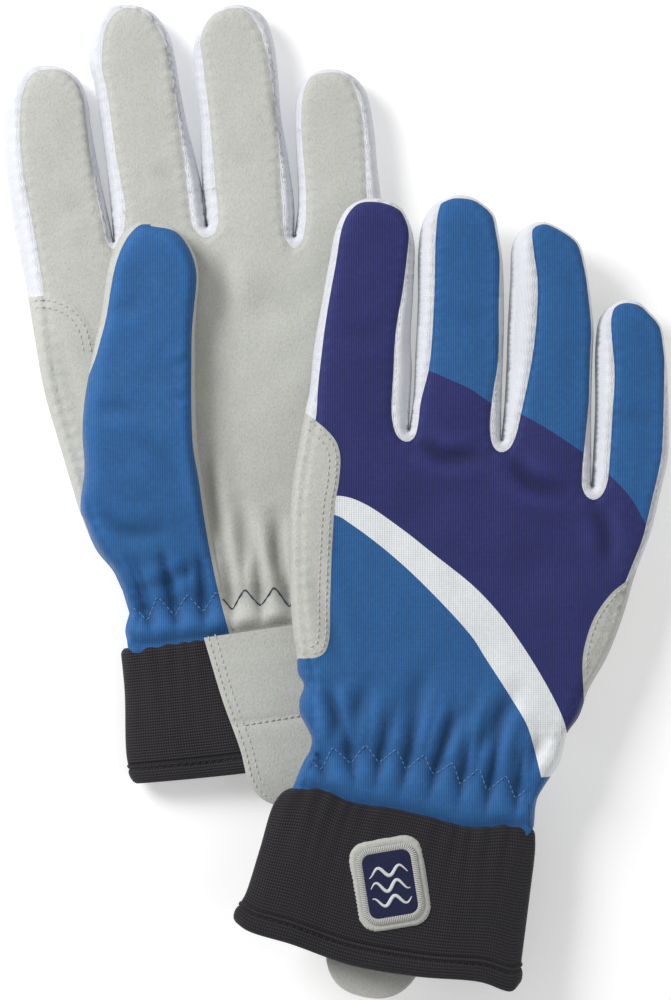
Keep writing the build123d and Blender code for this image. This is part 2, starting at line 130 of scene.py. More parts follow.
# Cuff and tab edges of the left glove.
LEFT_CUFF = [(-74.4, -52.3), (-73, -66.6), (-72, -90.8), (-69.3, -98.2)]
LEFT_TAB_EDGE = [(-45.7, -48.3), (-39.2, -70), (-33.2, -86.7), (-31.6, -93.4)]
LEFT_TAB_RIGHT = [(-9.0, -43.0), (-5.5, -62.0), (-2.6, -80.0), (-1.6, -89.8)]
RIGHT_TAB_EDGE = [(4.2, -103.0), (0.0, -125.0), (-3.4, -150.5)]
RIGHT_TAB_RIGHT = [(43.0, -110.4), (37.5, -135.0), (29.2, -157.6)]
RIGHT_OUT = [
    (-15.3, -98.9), (-13.5, -94.2), (-11.6, -89.8), (-9.4, -86), (-8.8, -82), (-10.6, -78),
    (-12.8, -73.4), (-12.9, -68.8), (-11.4, -64), (-13.4, -60), (-13.9, -53), (-14.9, -47.9),
    (-15.9, -35.3), (-16.2, -12.9), (-15.6, 1.7), (-13.5, 15.7), (-10.9, 29.3), (-9.6, 35),
    (-8.1, 49.8), (-5.5, 64.6), (-3, 78.7), (-0.3, 91.1), (3.5, 97.7), (10.2, 100.8), (16.1, 100.3),
    (21.5, 97.6), (24.2, 92.8), (25.9, 86.2), (25.5, 68), (24.7, 53.1), (25.1, 42.5), (24.6, 33),
    (24.1, 22.6), (24.1, 22.6), (25.6, 33), (26.3, 48.3), (27.1, 64.6), (27.4, 84.5), (28.8, 92.8),
    (32.5, 98.6), (39.9, 102), (45, 101.7), (49, 99.5), (53.1, 95.6), (54.6, 89.4), (56, 79.6),
    (56.5, 61.6), (56.2, 49), (55.6, 31), (55.5, 19.2), (55.5, 19.2), (56.6, 31), (57.4, 46.6),
    (57.7, 56.5), (58.6, 73), (59.4, 85.4), (63, 90.8), (69.3, 93.4), (77.1, 90.3), (82, 86.2),
    (84.6, 77.9), (86.1, 68), (87.1, 56.5), (86.8, 48.3), (86.3, 29.3), (86.4, 3.6), (86.4, 3.6),
    (87.6, 29.3), (87.8, 52.4), (89.2, 60.5), (92.8, 64.6), (97.8, 67), (102.8, 66), (106.2, 62.9),
    (110.2, 58.2), (111.8, 49.8), (112.6, 39.8), (113, 23.5), (112.6, 12.6), (110.2, 1.7),
    (106.8, -12.2), (103.4, -21.4), (100.7, -28.9), (97.7, -39.4), (91.9, -54.4), (85.4, -65.9),
    (82, -75.1), (77.9, -80.9), (77.3, -83.3), (75.6, -90.4), (70.5, -98.2), (67.7, -103.3),
    (66.7, -112.2),
]
RIGHT_IN = [
    (-11.8, -98.9), (-10.8, -94.5), (-7.7, -87), (-8.4, -76.8), (-8.8, -69.3), (-8.1, -62.5),
    (-10.1, -53), (-12.2, -35.3), (-12.8, -12.9), (-11.8, 1.7), (-10.1, 14), (-7.4, 26.2), (-6.7, 36.1),
    (-5.9, 44), (-3.8, 60.5), (-0.6, 78.7), (1.4, 90.3), (3.5, 95.2), (6.9, 98.6), (11, 99.3),
    (16.4, 98.6), (21.8, 95.7), (23.9, 89.4), (23.4, 81.3), (21.8, 68.8), (19.7, 56.5), (18.7, 40.7),
    (18.2, 27.5), (19.4, 21.6), (21, 19.3), (23.4, 18.3), (25.7, 19.6), (26.9, 23), (28, 31.6),
    (30.9, 43.8), (32.5, 64.6), (33.1, 87.1), (34.1, 96.6), (35.8, 100), (39.9, 100.7), (45, 100.3),
    (49, 98.6), (52.4, 95.9), (54.1, 93.5), (54.8, 81.3), (54.5, 64.6), (54.3, 46.3), (52.4, 33.8),
    (51.5, 22.5), (52.3, 17.6), (53.6, 15.6), (55.5, 14.8), (58, 16), (60, 19.6), (62.6, 30.2),
    (65.4, 43.9), (67.1, 56.5), (67.7, 73), (66.4, 83), (66, 90.3), (67.4, 91.5), (70.5, 92.2),
    (76.2, 90.1), (80, 87.7), (82.4, 84.7), (84.1, 77.9), (85.4, 68), (86.1, 56.5), (85.6, 37.8),
    (84.2, 21.5), (83, 9.6), (83, 2.8), (84.5, -0.2), (86.8, -1.3), (89.5, 0.2), (91.4, 4.2),
    (92.4, 12.9), (93.3, 28.2), (94, 42), (93, 54.4), (92.9, 60.5), (94.3, 64.3), (97.7, 65.6),
    (102.8, 64.6), (106.8, 61.2), (109.9, 56.8), (110.9, 51.4), (110.9, 35.7), (110.2, 15),
    (109.6, 10.9), (106.8, -1.3), (103.4, -14.9), (100.7, -21.7), (97.7, -29.2), (93.9, -39.4),
    (88.5, -52.3), (82.4, -64.2), (78.6, -73.4), (74.9, -80.2), (72.2, -89.7), (67.1, -98.2),
    (64.3, -103.3), (63.3, -112.2),
]
PATCH_SEAM_RIGHT = [
    (-14.2, 31), (-8.1, 25.9), (-4, 22.5), (-0.6, 18.4), (0.8, 13.6), (0.3, 4.4), (-0.9, -2.4),
    (-2, -18.7), (-2.6, -35.3), (-3, -48.9), (-4.7, -53), (-8.8, -54.7), (-13.9, -53.7),
]
PATCH_OUTSIDE_RIGHT = [(-19.6, -48.9), (-19.6, 15.7)]
# The right glove's print: both edges of the white stripe, and the top of the navy.
BAND_LOW = [
    (-16.2, -1.3), (1.1, 0), (8.6, -2.4), (20.8, -10.5), (33.4, -20.4), (45.6, -30.2), (54.1, -39.1),
    (62.3, -50.3), (70.5, -63.6), (76.2, -75.1), (79, -84.6),
]
BAND_LOW2 = [
    (-16.2, -6.4), (-0.9, -6.4), (4.5, -9.5), (16.7, -18.7), (29.3, -30.2), (45.6, -47.9),
    (49.7, -54.4), (58.2, -67.6), (64, -77.5), (66.4, -85), (68.8, -94.8),
]
NAVY_TOP = [
    (30.4, 42.6), (37.5, 39.5), (45, 36.1), (51.8, 31.6), (57.5, 29.6), (62.3, 27.6), (70.5, 23.1),
    (77.3, 18.7), (84.1, 14), (89.2, 9.5), (93.9, 5.5), (100, -1.3), (105.1, -10.5), (107.9, -14.9),
]
# Where palm suede wraps over the little-finger side.
WRAP_RIGHT = [(99.4, -27.9), (92.9, -33), (87.1, -41.1), (84.1, -49.3), (83, -56.1), (83.7, -71)]
# The middle of each wrist elastic.
ZIG_LEFT = [(-71.3, -40.1), (-58.7, -37.7), (-45.5, -36.4), (-36, -35.3), (-25.8, -34.7), (-15.2, -34)]
ZIG_RIGHT = [(-10.5, -90.1), (7.2, -87), (21.2, -88.7), (38.2, -93.1), (53.5, -97.2), (66.7, -100.6)]
# The four edges of the right cuff.
RIGHT_CUFF_TOP = [
    (-17.9, -98.9), (-6, -98.9), (4.2, -103.3), (18.8, -105.7), (30, -108.4), (44.6, -112.2),
    (57.9, -111.5), (66.4, -112.9),
]
RIGHT_CUFF_LEFT = [
    (-17.9, -98.9), (-21.7, -104), (-26.4, -119.3), (-31.2, -134.3), (-32.9, -137.3), (-34.9, -143.1),
]
RIGHT_CUFF_RIGHT = [(67.1, -112.9), (67.1, -120.3), (65.4, -135), (62.3, -159.4), (61.6, -165.9)]
RIGHT_CUFF_BOTTOM = [
    (-34.9, -143.1), (-30.5, -146.2), (-15.6, -150.9), (4.2, -158.1), (26.3, -162.2), (48.4, -164.5),
    (58.9, -167.9), (61.6, -165.9),
]
# Where the left cuff begins, and where both hands end inside their cuffs.
CUFF_EDGE_LEFT = [(-74.4, -51.4), (-50, -48.9), (-20, -44.5), (10.5, -40.6)]
LEFT_CUFF_BOTTOM = [(-69.3, -98.2), (-40.0, -95.4), (-8.0, -91.5), (23.2, -87.6)]
LEFT_CUFF_RIGHT = [(10.5, -40.6), (13.5, -55.0), (18.0, -72.0), (23.2, -87.6)]
LEFT_END = [(5, -44), (-20, -47.3), (-50, -51.8), (-70, -53.8)]
RIGHT_END = [
    (64.5, -115), (57.9, -114.4), (44.6, -115), (30, -111.3), (18.8, -108.6), (4.2, -106.1),
    (-5, -101.8), (-13, -101.5),
]
HAND_END = {"left": LEFT_END, "right": RIGHT_END}
# Straight lines where one piece of a side or a print ends: left, right and height.
CROSS_LINES = {
    "left": [
        (-118, -98, 68.0), (-94, -76, -15.3), (8, 20, 69.7), (6, 20, 22.7),
        (-130, 30, 84.0), (-130, 30, 44.0), (-130, 30, 36.0),
    ],
    "right": [(-20, -4, 22.7), (-20, -6, -54.7), (88, 118, -22.0), (90, 118, -40.0), (74, 100, -71.0)],
}
# Lines up the gaps between the fingers, from each crotch, in order from the index finger.
GAPS = {
    "left": [
        [(-76.8, 87.2), (-77.4, 92.5), (-80.0, 110), (-82.4, 124), (-84.3, 136), (-86.6, 144.5), (-92, 165)],
        [(-44.9, 92.6), (-46.0, 104.4), (-47.5, 116), (-49.5, 128), (-51.5, 140), (-52.5, 151), (-52, 175)],
        [(-14.9, 89), (-14.2, 99.3), (-15.3, 112), (-17, 128), (-17.5, 140), (-17, 170)],
    ],
    "right": [
        [(24.1, 22.6), (25.1, 33), (25.7, 48), (26.3, 64.6), (26.7, 85), (26.5, 93), (27, 120)],
        [(55.5, 19.2), (56, 31), (56.9, 48), (57.1, 61.6), (57.3, 79.6), (56.9, 88), (57, 115)],
        [(86.4, 3.6), (86.9, 29.3), (87.3, 50), (87.6, 60), (88, 68), (88, 100)],
    ],
}


# ---- Curves and surfaces ----

def smooth(points, step=1.3):
    """A curve through these points, at an even step. A repeated point is a corner."""
    runs, run = [], [points[0]]
    for point in points[1:]:
        if point == run[-1]:
            runs.append(run)
            run = [point]
        else:
            run.append(point)
    runs.append(run)
    out = []
    for run in runs:
        p = np.array(run, float)
        if len(p) < 3:
            dense = p
        else:
            ends = np.vstack([2 * p[0] - p[1], p, 2 * p[-1] - p[-2]])
            dense = []
            for a, b, c, d in zip(ends[:-3], ends[1:-2], ends[2:-1], ends[3:]):
                for t in np.linspace(0, 1, 12, endpoint=False):
                    dense.append(catmull(a, b, c, d, t))
            dense = np.array([*dense, p[-1]])
        line = even(dense, step)
        out.append(line if not out else line[1:])
    return np.vstack(out)


def catmull(a, b, c, d, t):
    """Centripetal Catmull-Rom, so that uneven points give no loops."""
    k0 = 0.0
    k1 = k0 + max(np.linalg.norm(b - a), 1e-6) ** 0.5
    k2 = k1 + max(np.linalg.norm(c - b), 1e-6) ** 0.5
    k3 = k2 + max(np.linalg.norm(d - c), 1e-6) ** 0.5
    k = k1 + (k2 - k1) * t
    ab = (k1 - k) / (k1 - k0) * a + (k - k0) / (k1 - k0) * b
    bc = (k2 - k) / (k2 - k1) * b + (k - k1) / (k2 - k1) * c
    cd = (k3 - k) / (k3 - k2) * c + (k - k2) / (k3 - k2) * d
    abc = (k2 - k) / (k2 - k0) * ab + (k - k0) / (k2 - k0) * bc
    bcd = (k3 - k) / (k3 - k1) * bc + (k - k1) / (k3 - k1) * cd
    return (k2 - k) / (k2 - k1) * abc + (k - k1) / (k2 - k1) * bcd


def lengths(line):
    return np.concatenate([[0], np.cumsum(np.linalg.norm(np.diff(line, axis=0), axis=1))])


def even(line, step):
    """The same polyline, at an even step."""
    at = lengths(line)
    count = max(1, int(round(at[-1] / step)))
    want = np.linspace(0, at[-1], count + 1)
    return np.column_stack([np.interp(want, at, line[:, k]) for k in range(line.shape[1])])


def along(line, share):
    """Points at these shares of a polyline's length."""
    at = lengths(line)
    want = np.asarray(share) * at[-1]
    return np.column_stack([np.interp(want, at, line[:, k]) for k in range(line.shape[1])])


def to_line(points, line):
    """Distance from each point to a polyline, and how far along it the nearest spot lies."""
    a, b = line[:-1], line[1:]
    d = b - a
    size = np.maximum((d * d).sum(1), 1e-9)
    at = lengths(line)
    best, where = np.empty(len(points)), np.empty(len(points))
    for lo in range(0, len(points), 4000):
        p = points[lo:lo + 4000, None, :]
        t = np.clip(((p - a) * d).sum(2) / size, 0, 1)
        near = a + t[..., None] * d
        dist = ((p - near) ** 2).sum(2)
        k = dist.argmin(1)
        rows = np.arange(len(k))
        best[lo:lo + 4000] = np.sqrt(dist[rows, k])
        where[lo:lo + 4000] = at[k] + t[rows, k] * np.sqrt(size[k])
    return best, where


def inside(points, polygon):
    """Which points lie inside a closed polygon."""
    x, y = points[:, 0], points[:, 1]
    odd = np.zeros(len(points), bool)
    for (x1, y1), (x2, y2) in zip(polygon, np.roll(polygon, -1, axis=0)):
        if y1 == y2:
            continue
        cross = (y1 > y) != (y2 > y)
        odd ^= cross & (x < (x2 - x1) * (y - y1) / (y2 - y1) + x1)
    return odd


def kept_inside(line, outline, gap=1.1):
    """The same line, with each point that comes too near an outline or crosses it moved back inside."""
    loop = looped(outline)
    d, where = to_line(line, outline)
    near = along(outline, where / lengths(outline)[-1])
    ahead = along(outline, np.minimum(where + 0.2, lengths(outline)[-1]) / lengths(outline)[-1])
    behind = along(outline, np.maximum(where - 0.2, 0) / lengths(outline)[-1])
    normal = np.column_stack([behind[:, 1] - ahead[:, 1], ahead[:, 0] - behind[:, 0]])
    normal /= np.maximum(np.linalg.norm(normal, axis=1, keepdims=True), 1e-9)
    normal[~inside(near + 0.25 * normal, loop)] *= -1
    bad = (d < gap) | ~inside(line, loop)
    return np.where(bad[:, None], near + gap * normal, line)


def looped(line):
    """The same line, with its first point again at its end."""
    return np.vstack([line, line[:1]])


def bell(value, width):
    """1 at zero, falling off smoothly over about a width on each side."""
    return np.exp(-((value / width) ** 2))


def rounded(distance, width, power=2.2):
    """0 at an edge, rising in a rounded profile to 1 at a width from it."""
    return (1 - (1 - np.clip(distance / width, 0, 1)) ** power) ** (1 / power)


def welded(verts, faces):
    """A mesh with its coincident vertices joined, and the old number of each vertex kept."""
    _, first, back = np.unique(np.round(verts, 3), axis=0, return_index=True, return_inverse=True)
    return verts[first], back.ravel()[faces], first


def lattice(x, y, seed):
    """Repeatable random values on whole-number points, from -1 to 1."""
    n = np.sin(x * 127.1 + y * 311.7 + seed * 74.7) * 43758.5453
    return 2 * (n - np.floor(n)) - 1


def noise(x, y, size, seed=0):
    """Smooth noise whose bumps are about `size` apart, from -1 to 1."""
    u, v = x / size, y / size
    i, j = np.floor(u), np.floor(v)
    f, g = u - i, v - j
    f, g = f * f * (3 - 2 * f), g * g * (3 - 2 * g)
    top = lattice(i, j, seed) * (1 - f) + lattice(i + 1, j, seed) * f
    low = lattice(i, j + 1, seed) * (1 - f) + lattice(i + 1, j + 1, seed) * f
    return top * (1 - g) + low * g


def ease(value, low, high):
    t = np.clip((value - low) / (high - low), 0, 1)
    return t * t * (3 - 2 * t)


def triangulate(outline, borders, spacing=GRID):
    """Fills a closed outline with triangles. Each border line becomes a row of edges."""
    points, edges = [], []
    for line, closed in [(outline, True), *[(b, False) for b in borders]]:
        first = len(points)
        points += [tuple(p) for p in line]
        edges += [(first + k, first + k + 1) for k in range(len(line) - 1)]
        if closed:
            edges.append((len(points) - 1, first))
    lo, hi = outline.min(0), outline.max(0)
    rows = np.arange(lo[1], hi[1], spacing * 0.866)
    grid = np.array([(x + (spacing / 2 if k % 2 else 0), y)
                     for k, y in enumerate(rows) for x in np.arange(lo[0], hi[0], spacing)])
    grid = grid[inside(grid, outline)]
    near = np.full(len(grid), 1e9)
    for line in [looped(outline), *borders]:
        near = np.minimum(near, to_line(grid, line)[0])
    grid = grid[near > 0.62 * spacing]
    points += [tuple(p) for p in grid]
    verts, _, faces, *_ = delaunay_2d_cdt([Vector(p) for p in points], edges, [], 0, 1e-5)
    verts = np.array([tuple(v) for v in verts])
    faces = np.array([f for f in faces if len(f) == 3])
    centres = verts[faces].mean(1)
    faces = faces[inside(centres, outline)]
    flip = np.cross(verts[faces[:, 1]] - verts[faces[:, 0]], verts[faces[:, 2]] - verts[faces[:, 0]]) < 0
    faces[flip] = faces[flip][:, ::-1]
    return verts, faces


def vertex_normals(verts, faces):
    """Smooth normals of a triangle or quad mesh, weighted by face area."""
    n = np.cross(verts[faces[:, 1]] - verts[faces[:, 0]], verts[faces[:, -1]] - verts[faces[:, 0]])
    out = np.zeros_like(verts)
    for k in range(faces.shape[1]):
        np.add.at(out, faces[:, k], n)
    return out / np.maximum(np.linalg.norm(out, axis=1, keepdims=True), 1e-12)


def painted_shade_and_highlight(points, faces, height, passes=26):
    """How far each vertex stands out from the cloth round it: below 0 in a fold, above 0 on a ridge. This
    sets the painted shade in the folds and the painted highlight on the ridges.
    """
    edges = np.vstack([faces[:, [0, 1]], faces[:, [1, 2]], faces[:, [2, 0]]])
    a, b = np.unique(np.sort(edges, axis=1), axis=0).T
    count = np.bincount(np.concatenate([a, b]), minlength=len(points)).clip(1)
    blur = height.copy()
    for _ in range(int(passes / GRID ** 2) + 1):
        total = np.bincount(a, blur[b], len(points)) + np.bincount(b, blur[a], len(points))
        blur = 0.5 * blur + 0.5 * total / count
    return np.clip((height - blur) / 0.7, -1.0, 1.0)


def make(name, verts, faces, material, normals=None, flow=None, fold=None):
    """A mesh object, from millimetres. Only the vertices that its faces use are kept."""
    flow = verts if flow is None else flow
    faces = np.asarray(faces)
    used, index = np.unique(faces.ravel(), return_inverse=True)
    index = index.reshape(faces.shape)
    mesh = bpy.data.meshes.new(name)
    mesh.from_pydata((verts[used] * MM).tolist(), [], index.tolist())
    mesh.polygons.foreach_set("use_smooth", np.ones(len(mesh.polygons), bool))
    mesh.materials.append(material)
    kept = mesh.attributes.new("flow", "FLOAT_VECTOR", "POINT")
    kept.data.foreach_set("vector", flow[used].astype(np.float32).ravel())
    # The fold attribute carries painted shade for the cloth's folds and a painted highlight for its ridges.
    if fold is not None:
        kept = mesh.attributes.new("fold", "FLOAT", "POINT")
        kept.data.foreach_set("value", fold[used].astype(np.float32))
    if normals is not None:
        mesh.normals_split_custom_set_from_vertices(normals[used].tolist())
    mesh.update()
    obj = bpy.data.objects.new(name, mesh)
    bpy.context.scene.collection.objects.link(obj)
    return obj


def loft(rings):
    """Quads between rings of points. Each ring is an (n, 3) array."""
    n = len(rings[0])
    verts = np.vstack(rings)
    faces = []
    for r in range(len(rings) - 1):
        for k in range(n):
            a, b = r * n + k, r * n + (k + 1) % n
            faces.append((a, b, b + n, a + n))
    return verts, np.array(faces)


def tube(path, radius, sides=6, flat=1.0, up=(0, 0, 1)):
    """A capped tube along a path in space."""
    path = np.asarray(path, float)
    tangent = np.gradient(path, axis=0)
    tangent /= np.maximum(np.linalg.norm(tangent, axis=1, keepdims=True), 1e-9)
    side = np.cross(tangent, up)
    side /= np.maximum(np.linalg.norm(side, axis=1, keepdims=True), 1e-9)
    lift = np.cross(side, tangent)
    radius = np.broadcast_to(radius, len(path))
    angle = np.linspace(0, 2 * math.pi, sides, endpoint=False)
    rings = [p + r * (np.outer(np.cos(angle), s) + flat * np.outer(np.sin(angle), u))
             for p, r, s, u in zip(path, radius, side, lift)]
    verts, faces = loft(rings)
    return verts, faces[:, ::-1]


def gather(parts):
    """Several (verts, faces) pairs as one. Faces all have the same number of corners."""
    verts, faces, start = [], [], 0
    for v, f in parts:
        verts.append(v)
        faces.append(f + start)
        start += len(v)
    return np.vstack(verts), np.vstack(faces)


# ---- Materials ----

WAVE = 0.314  # the wave texture's scale that gives one band in each unit


class Graph:
    """A node material, built a node at a time."""

    def __init__(self, name, roughness=0.8, sheen=0.0, specular=0.3):
        self.material = bpy.data.materials.new(name)
        self.material.use_nodes = True
        self.tree = self.material.node_tree
        self.surface = self.tree.nodes["Principled BSDF"]
        self.surface.inputs["Roughness"].default_value = roughness
        self.surface.inputs["Sheen Weight"].default_value = sheen
        self.surface.inputs["Sheen Roughness"].default_value = 0.4
        self.surface.inputs["Specular IOR Level"].default_value = specular
        where = self.node("ShaderNodeAttribute", attribute_name="flow")
        self.flow = where.outputs["Vector"]

    def node(self, kind, _inputs=None, **settings):
        made = self.tree.nodes.new(kind)
        for key, value in settings.items():
            setattr(made, key, value)
        for key, value in (_inputs or {}).items():
            if isinstance(value, bpy.types.NodeSocket):
                self.tree.links.new(value, made.inputs[key])
            else:
                made.inputs[key].default_value = value
        return made

    def folds(self, tone, dark, light):
        """Paints shade into a colour in the folds of the cloth and a highlight on their ridges."""
        fold = self.node("ShaderNodeAttribute", attribute_name="fold").outputs["Fac"]
        low = self.ramp(fold, dark, 1.0, start=-1.0, stop=0.0)
        factor = self.math("MULTIPLY", low, self.ramp(fold, 1.0, light))
        made = self.node("ShaderNodeVectorMath", {}, operation="SCALE")
        self.tree.links.new(tone, made.inputs[0])
        self.tree.links.new(factor, made.inputs["Scale"])
        return made.outputs[0]

    def place(self, scale=(1, 1, 1), turn=0.0):
        """The flow coordinates in millimetres, scaled and turned in their plane."""
        inputs = {"Vector": self.flow, "Rotation": (0, 0, turn), "Scale": scale}
        made = self.node("ShaderNodeMapping", inputs)
        return made.outputs[0]

    def noise(self, size, detail=3.0, rough=0.55, scale=(1, 1, 1)):
        """Noise from 0 to 1 whose features are about `size` millimetres."""
        inputs = {"Vector": self.place(scale), "Scale": 1 / size, "Detail": detail, "Roughness": rough}
        return self.node("ShaderNodeTexNoise", inputs).outputs["Fac"]

    def waves(self, period, turn=0.0, wobble=0.0):
        """Bands across X, from 0 to 1, one every `period` millimetres."""
        made = self.node(
            "ShaderNodeTexWave",
            {"Vector": self.place(turn=turn), "Scale": WAVE / period, "Distortion": wobble, "Detail": 1.0},
            wave_type="BANDS", bands_direction="X", wave_profile="SIN",
        )
        return made.outputs["Fac"]

    def math(self, operation, a, b):
        return self.node("ShaderNodeMath", {0: a, 1: b}, operation=operation).outputs[0]

    def ramp(self, value, low, high, start=0.0, stop=1.0):
        """Turns values from start to stop into low to high, and no further either way."""
        inputs = {"Value": value, "From Min": start, "From Max": stop, "To Min": low, "To Max": high}
        return self.node("ShaderNodeMapRange", inputs).outputs[0]

    def mix(self, share, a, b):
        made = self.node("ShaderNodeMix", {}, data_type="RGBA")
        for key, value in ((0, share), (6, a), (7, b)):
            if isinstance(value, bpy.types.NodeSocket):
                self.tree.links.new(value, made.inputs[key])
            else:
                made.inputs[key].default_value = value
        return made.outputs[2]

    def colour(self, socket):
        self.tree.links.new(socket, self.surface.inputs["Base Color"])

    def bump(self, *heights):
        """Stacks (height, depth in millimetres) bumps onto the surface."""
        normal = None
        for value, depth in heights:
            made = self.node("ShaderNodeBump", {"Height": value, "Strength": 1.0, "Distance": depth * MM})
            if normal is not None:
                self.tree.links.new(normal, made.inputs["Normal"])
            normal = made.outputs[0]
        self.tree.links.new(normal, self.surface.inputs["Normal"])

    def rough(self, socket):
        self.tree.links.new(socket, self.surface.inputs["Roughness"])


def rgb(r, g, b):
    """Linear colour from 0-255 display values."""
    return (*[((c / 255 + 0.055) / 1.055) ** 2.4 if c > 10.3 else c / 255 / 12.92 for c in (r, g, b)], 1.0)


def shade(colour, factor):
    return (*[min(1.0, c * factor) for c in colour[:3]], 1.0)


def suede(name, colour):
    g = Graph(name, roughness=0.95, sheen=0.25, specular=0.15)
    broad, cloud = g.noise(38, 4), g.noise(7, 4, 0.6)
    nap, fibre = g.noise(0.8, 5, 0.7), g.noise(0.45, 2, 0.5, scale=(1, 0.45, 1))
    tone = g.mix(g.ramp(broad, -0.2, 1.2), shade(colour, 0.9), shade(colour, 1.07))
    tone = g.mix(g.ramp(cloud, -0.15, 0.5), tone, shade(colour, 0.84))
    tone = g.mix(g.ramp(nap, -0.6, 1.15), tone, shade(colour, 1.16))
    tone = g.mix(g.ramp(fibre, -0.9, 1.0), tone, shade(colour, 0.72))
    # Painted shade in the suede's folds and a faint painted highlight on its ridges.
    g.colour(g.folds(tone, 0.8, 1.05))
    g.rough(g.ramp(cloud, 0.86, 1.0))
    g.bump((cloud, 0.12), (nap, 0.16), (fibre, 0.10))
    return g.material


def knit(name, colour, period=0.8, contrast=0.75, sheen=0.15, mottle=1.0, dark=0.62):
    """A fine stretch knit: ribs along Y, crossed by finer courses. Painted shade darkens it in the folds
    down to dark, and a painted highlight lightens the ridges.
    """
    g = Graph(name, roughness=0.7, sheen=sheen, specular=0.3)
    ribs = g.waves(period, wobble=0.35)
    courses = g.waves(period * 0.8, turn=math.pi / 2, wobble=0.5)
    broad, slub = g.noise(24, 3), g.noise(1.7, 3, 0.6)
    weave = g.math("ADD", g.math("MULTIPLY", ribs, 0.65), g.math("MULTIPLY", courses, 0.35))
    # The stitch pattern's colour, partly painted: painted shade in the grooves between ribs and courses, and
    # painted light on their tops.
    tone = g.mix(weave, shade(colour, contrast), shade(colour, 1.12))
    tone = g.mix(g.ramp(broad, -0.5, 0.75), tone, shade(colour, 1 - 0.18 * mottle))
    tone = g.mix(g.ramp(slub, -0.6, 0.9), tone, shade(colour, 1 + 0.22 * mottle))
    # Painted shade in the knit's folds and a painted highlight on its ridges.
    g.colour(g.folds(tone, dark, 1.18))
    g.rough(g.ramp(weave, 0.78, 0.6))
    g.bump((slub, 0.05), (weave, 0.11))
    return g.material


def webbing(name, colour):
    """Woven elastic: bold ribs round the wrist, crossed by finer cords."""
    g = Graph(name, roughness=0.62, sheen=0.1, specular=0.35)
    rows = g.waves(0.95, turn=math.pi / 2, wobble=0.35)
    cords = g.waves(0.8, wobble=0.4)
    fuzz = g.noise(0.6, 3, 0.6)
    broad = g.noise(16, 3)
    weave = g.math("MULTIPLY", g.math("POWER", rows, 0.7), g.ramp(cords, 0.45, 1.0))
    # The weave's colour, partly painted: painted shade in the grooves between rows and cords, and painted
    # light on their tops.
    tone = g.mix(weave, shade(colour, 0.5), shade(colour, 1.45))
    tone = g.mix(g.ramp(broad, -0.4, 0.8), tone, shade(colour, 1.2))
    tone = g.mix(g.ramp(fuzz, -1.2, 0.8), tone, shade(colour, 2.2))
    g.colour(tone)
    g.rough(g.ramp(weave, 0.85, 0.5))
    g.bump((broad, 0.1), (rows, 0.2), (cords, 0.12))
    return g.material


def thread(name, colour):
    g = Graph(name, roughness=0.55, sheen=0.2, specular=0.4)
    twist = g.waves(0.35, turn=0.6)
    g.colour(g.mix(twist, shade(colour, 0.72), shade(colour, 1.15)))
    g.bump((twist, 0.04))
    return g.material


SUEDE = suede("suede_grey", rgb(196, 197, 191))
BLUE = knit("fabric_blue", rgb(44, 98, 156))
NAVY_FABRIC = knit("fabric_navy", rgb(46, 50, 108))
# The white knits take lighter painted shade in their folds.
PRINT_WHITE = knit("fabric_print_white", rgb(234, 237, 239), contrast=0.9, mottle=0.7, dark=0.66)
WHITE = knit("fabric_white", rgb(220, 222, 228), 0.65, contrast=0.94, sheen=0.05, mottle=0.35, dark=0.8)
LINING = suede("lining_white", rgb(226, 226, 222))
BLACK = webbing("elastic_black", rgb(40, 37, 42))
GREY_THREAD = thread("thread_grey", rgb(206, 207, 202))
BLUE_THREAD = thread("thread_blue", rgb(88, 136, 188))
NAVY_THREAD = thread("thread_navy", rgb(34, 50, 72))
BLACK_THREAD = thread("thread_black", rgb(24, 24, 26))
WHITE_THREAD = thread("thread_white", rgb(228, 230, 232))


# ---- The two hands ----

# Finger stalls as the CAD frame has them: base line centre, lean, base width.
STALLS = {
    "left": {
        "index": (-94.6, 94.6, -6.4, 32.0),
        "middle": (-61.7, 98.0, -7.3, 31.4),
        "ring": (-29.5, 96.6, -4.3, 30.4),
        "little": (0.8, 102.1, -4.0, 27.8),
    },
    "right": {
        "index": (7.4, 31.0, 3.9, 34.0),
        "middle": (41.5, 31.0, -0.4, 31.0),
        "ring": (71.7, 24.2, -0.8, 27.4),
        "little": (100.1, 10.6, -0.9, 25.4),
    },
}
WRIST = {"left": ((-71.7, -50.6), (5.9, -39.8)), "right": ((-14.5, -98.9), (66.7, -112.2))}
PATCH_SPAN = {"left": (68.0, -15.3), "right": (22.7, -54.7)}
STRIP_END = {"left": 69.7, "right": -22.0}  # the white strip below the little finger
WRAP_END = {"left": 22.7, "right": -71.0}  # the suede wrapped round the little side
WEBS_END = -40.0  # where the right glove's white strip ends on its back
OUTER_EDGE = {"left": -62.0, "right": 15.0}  # only the hand's outer edge lies to the left of this


def middle_height(name, x):
    """Height of the middle of a glove's thickness."""
    if name == "left":
        return np.full_like(x, LEFT_MID)
    return RIGHT_MID - (x - CENTRE_X) * math.tan(LEAN)


def stall_axes(name, finger):
    """The middle of a finger's base line, its directions ahead and to the side, and its width."""
    x, y, lean, width = STALLS[name][finger]
    turn = math.radians(lean)
    ahead, side = (math.sin(turn), math.cos(turn)), (math.cos(turn), -math.sin(turn))
    return np.array([x, y]), np.array(ahead), np.array(side), width


def hinge_segments(name):
    """Each finger's base line, a little wider than its stall."""
    out = []
    for finger in STALLS[name]:
        base, _, side, width = stall_axes(name, finger)
        reach = side * (width / 2 + 1.2)
        out.append(even(np.array([base - reach, base + reach]), GRID))
    return out


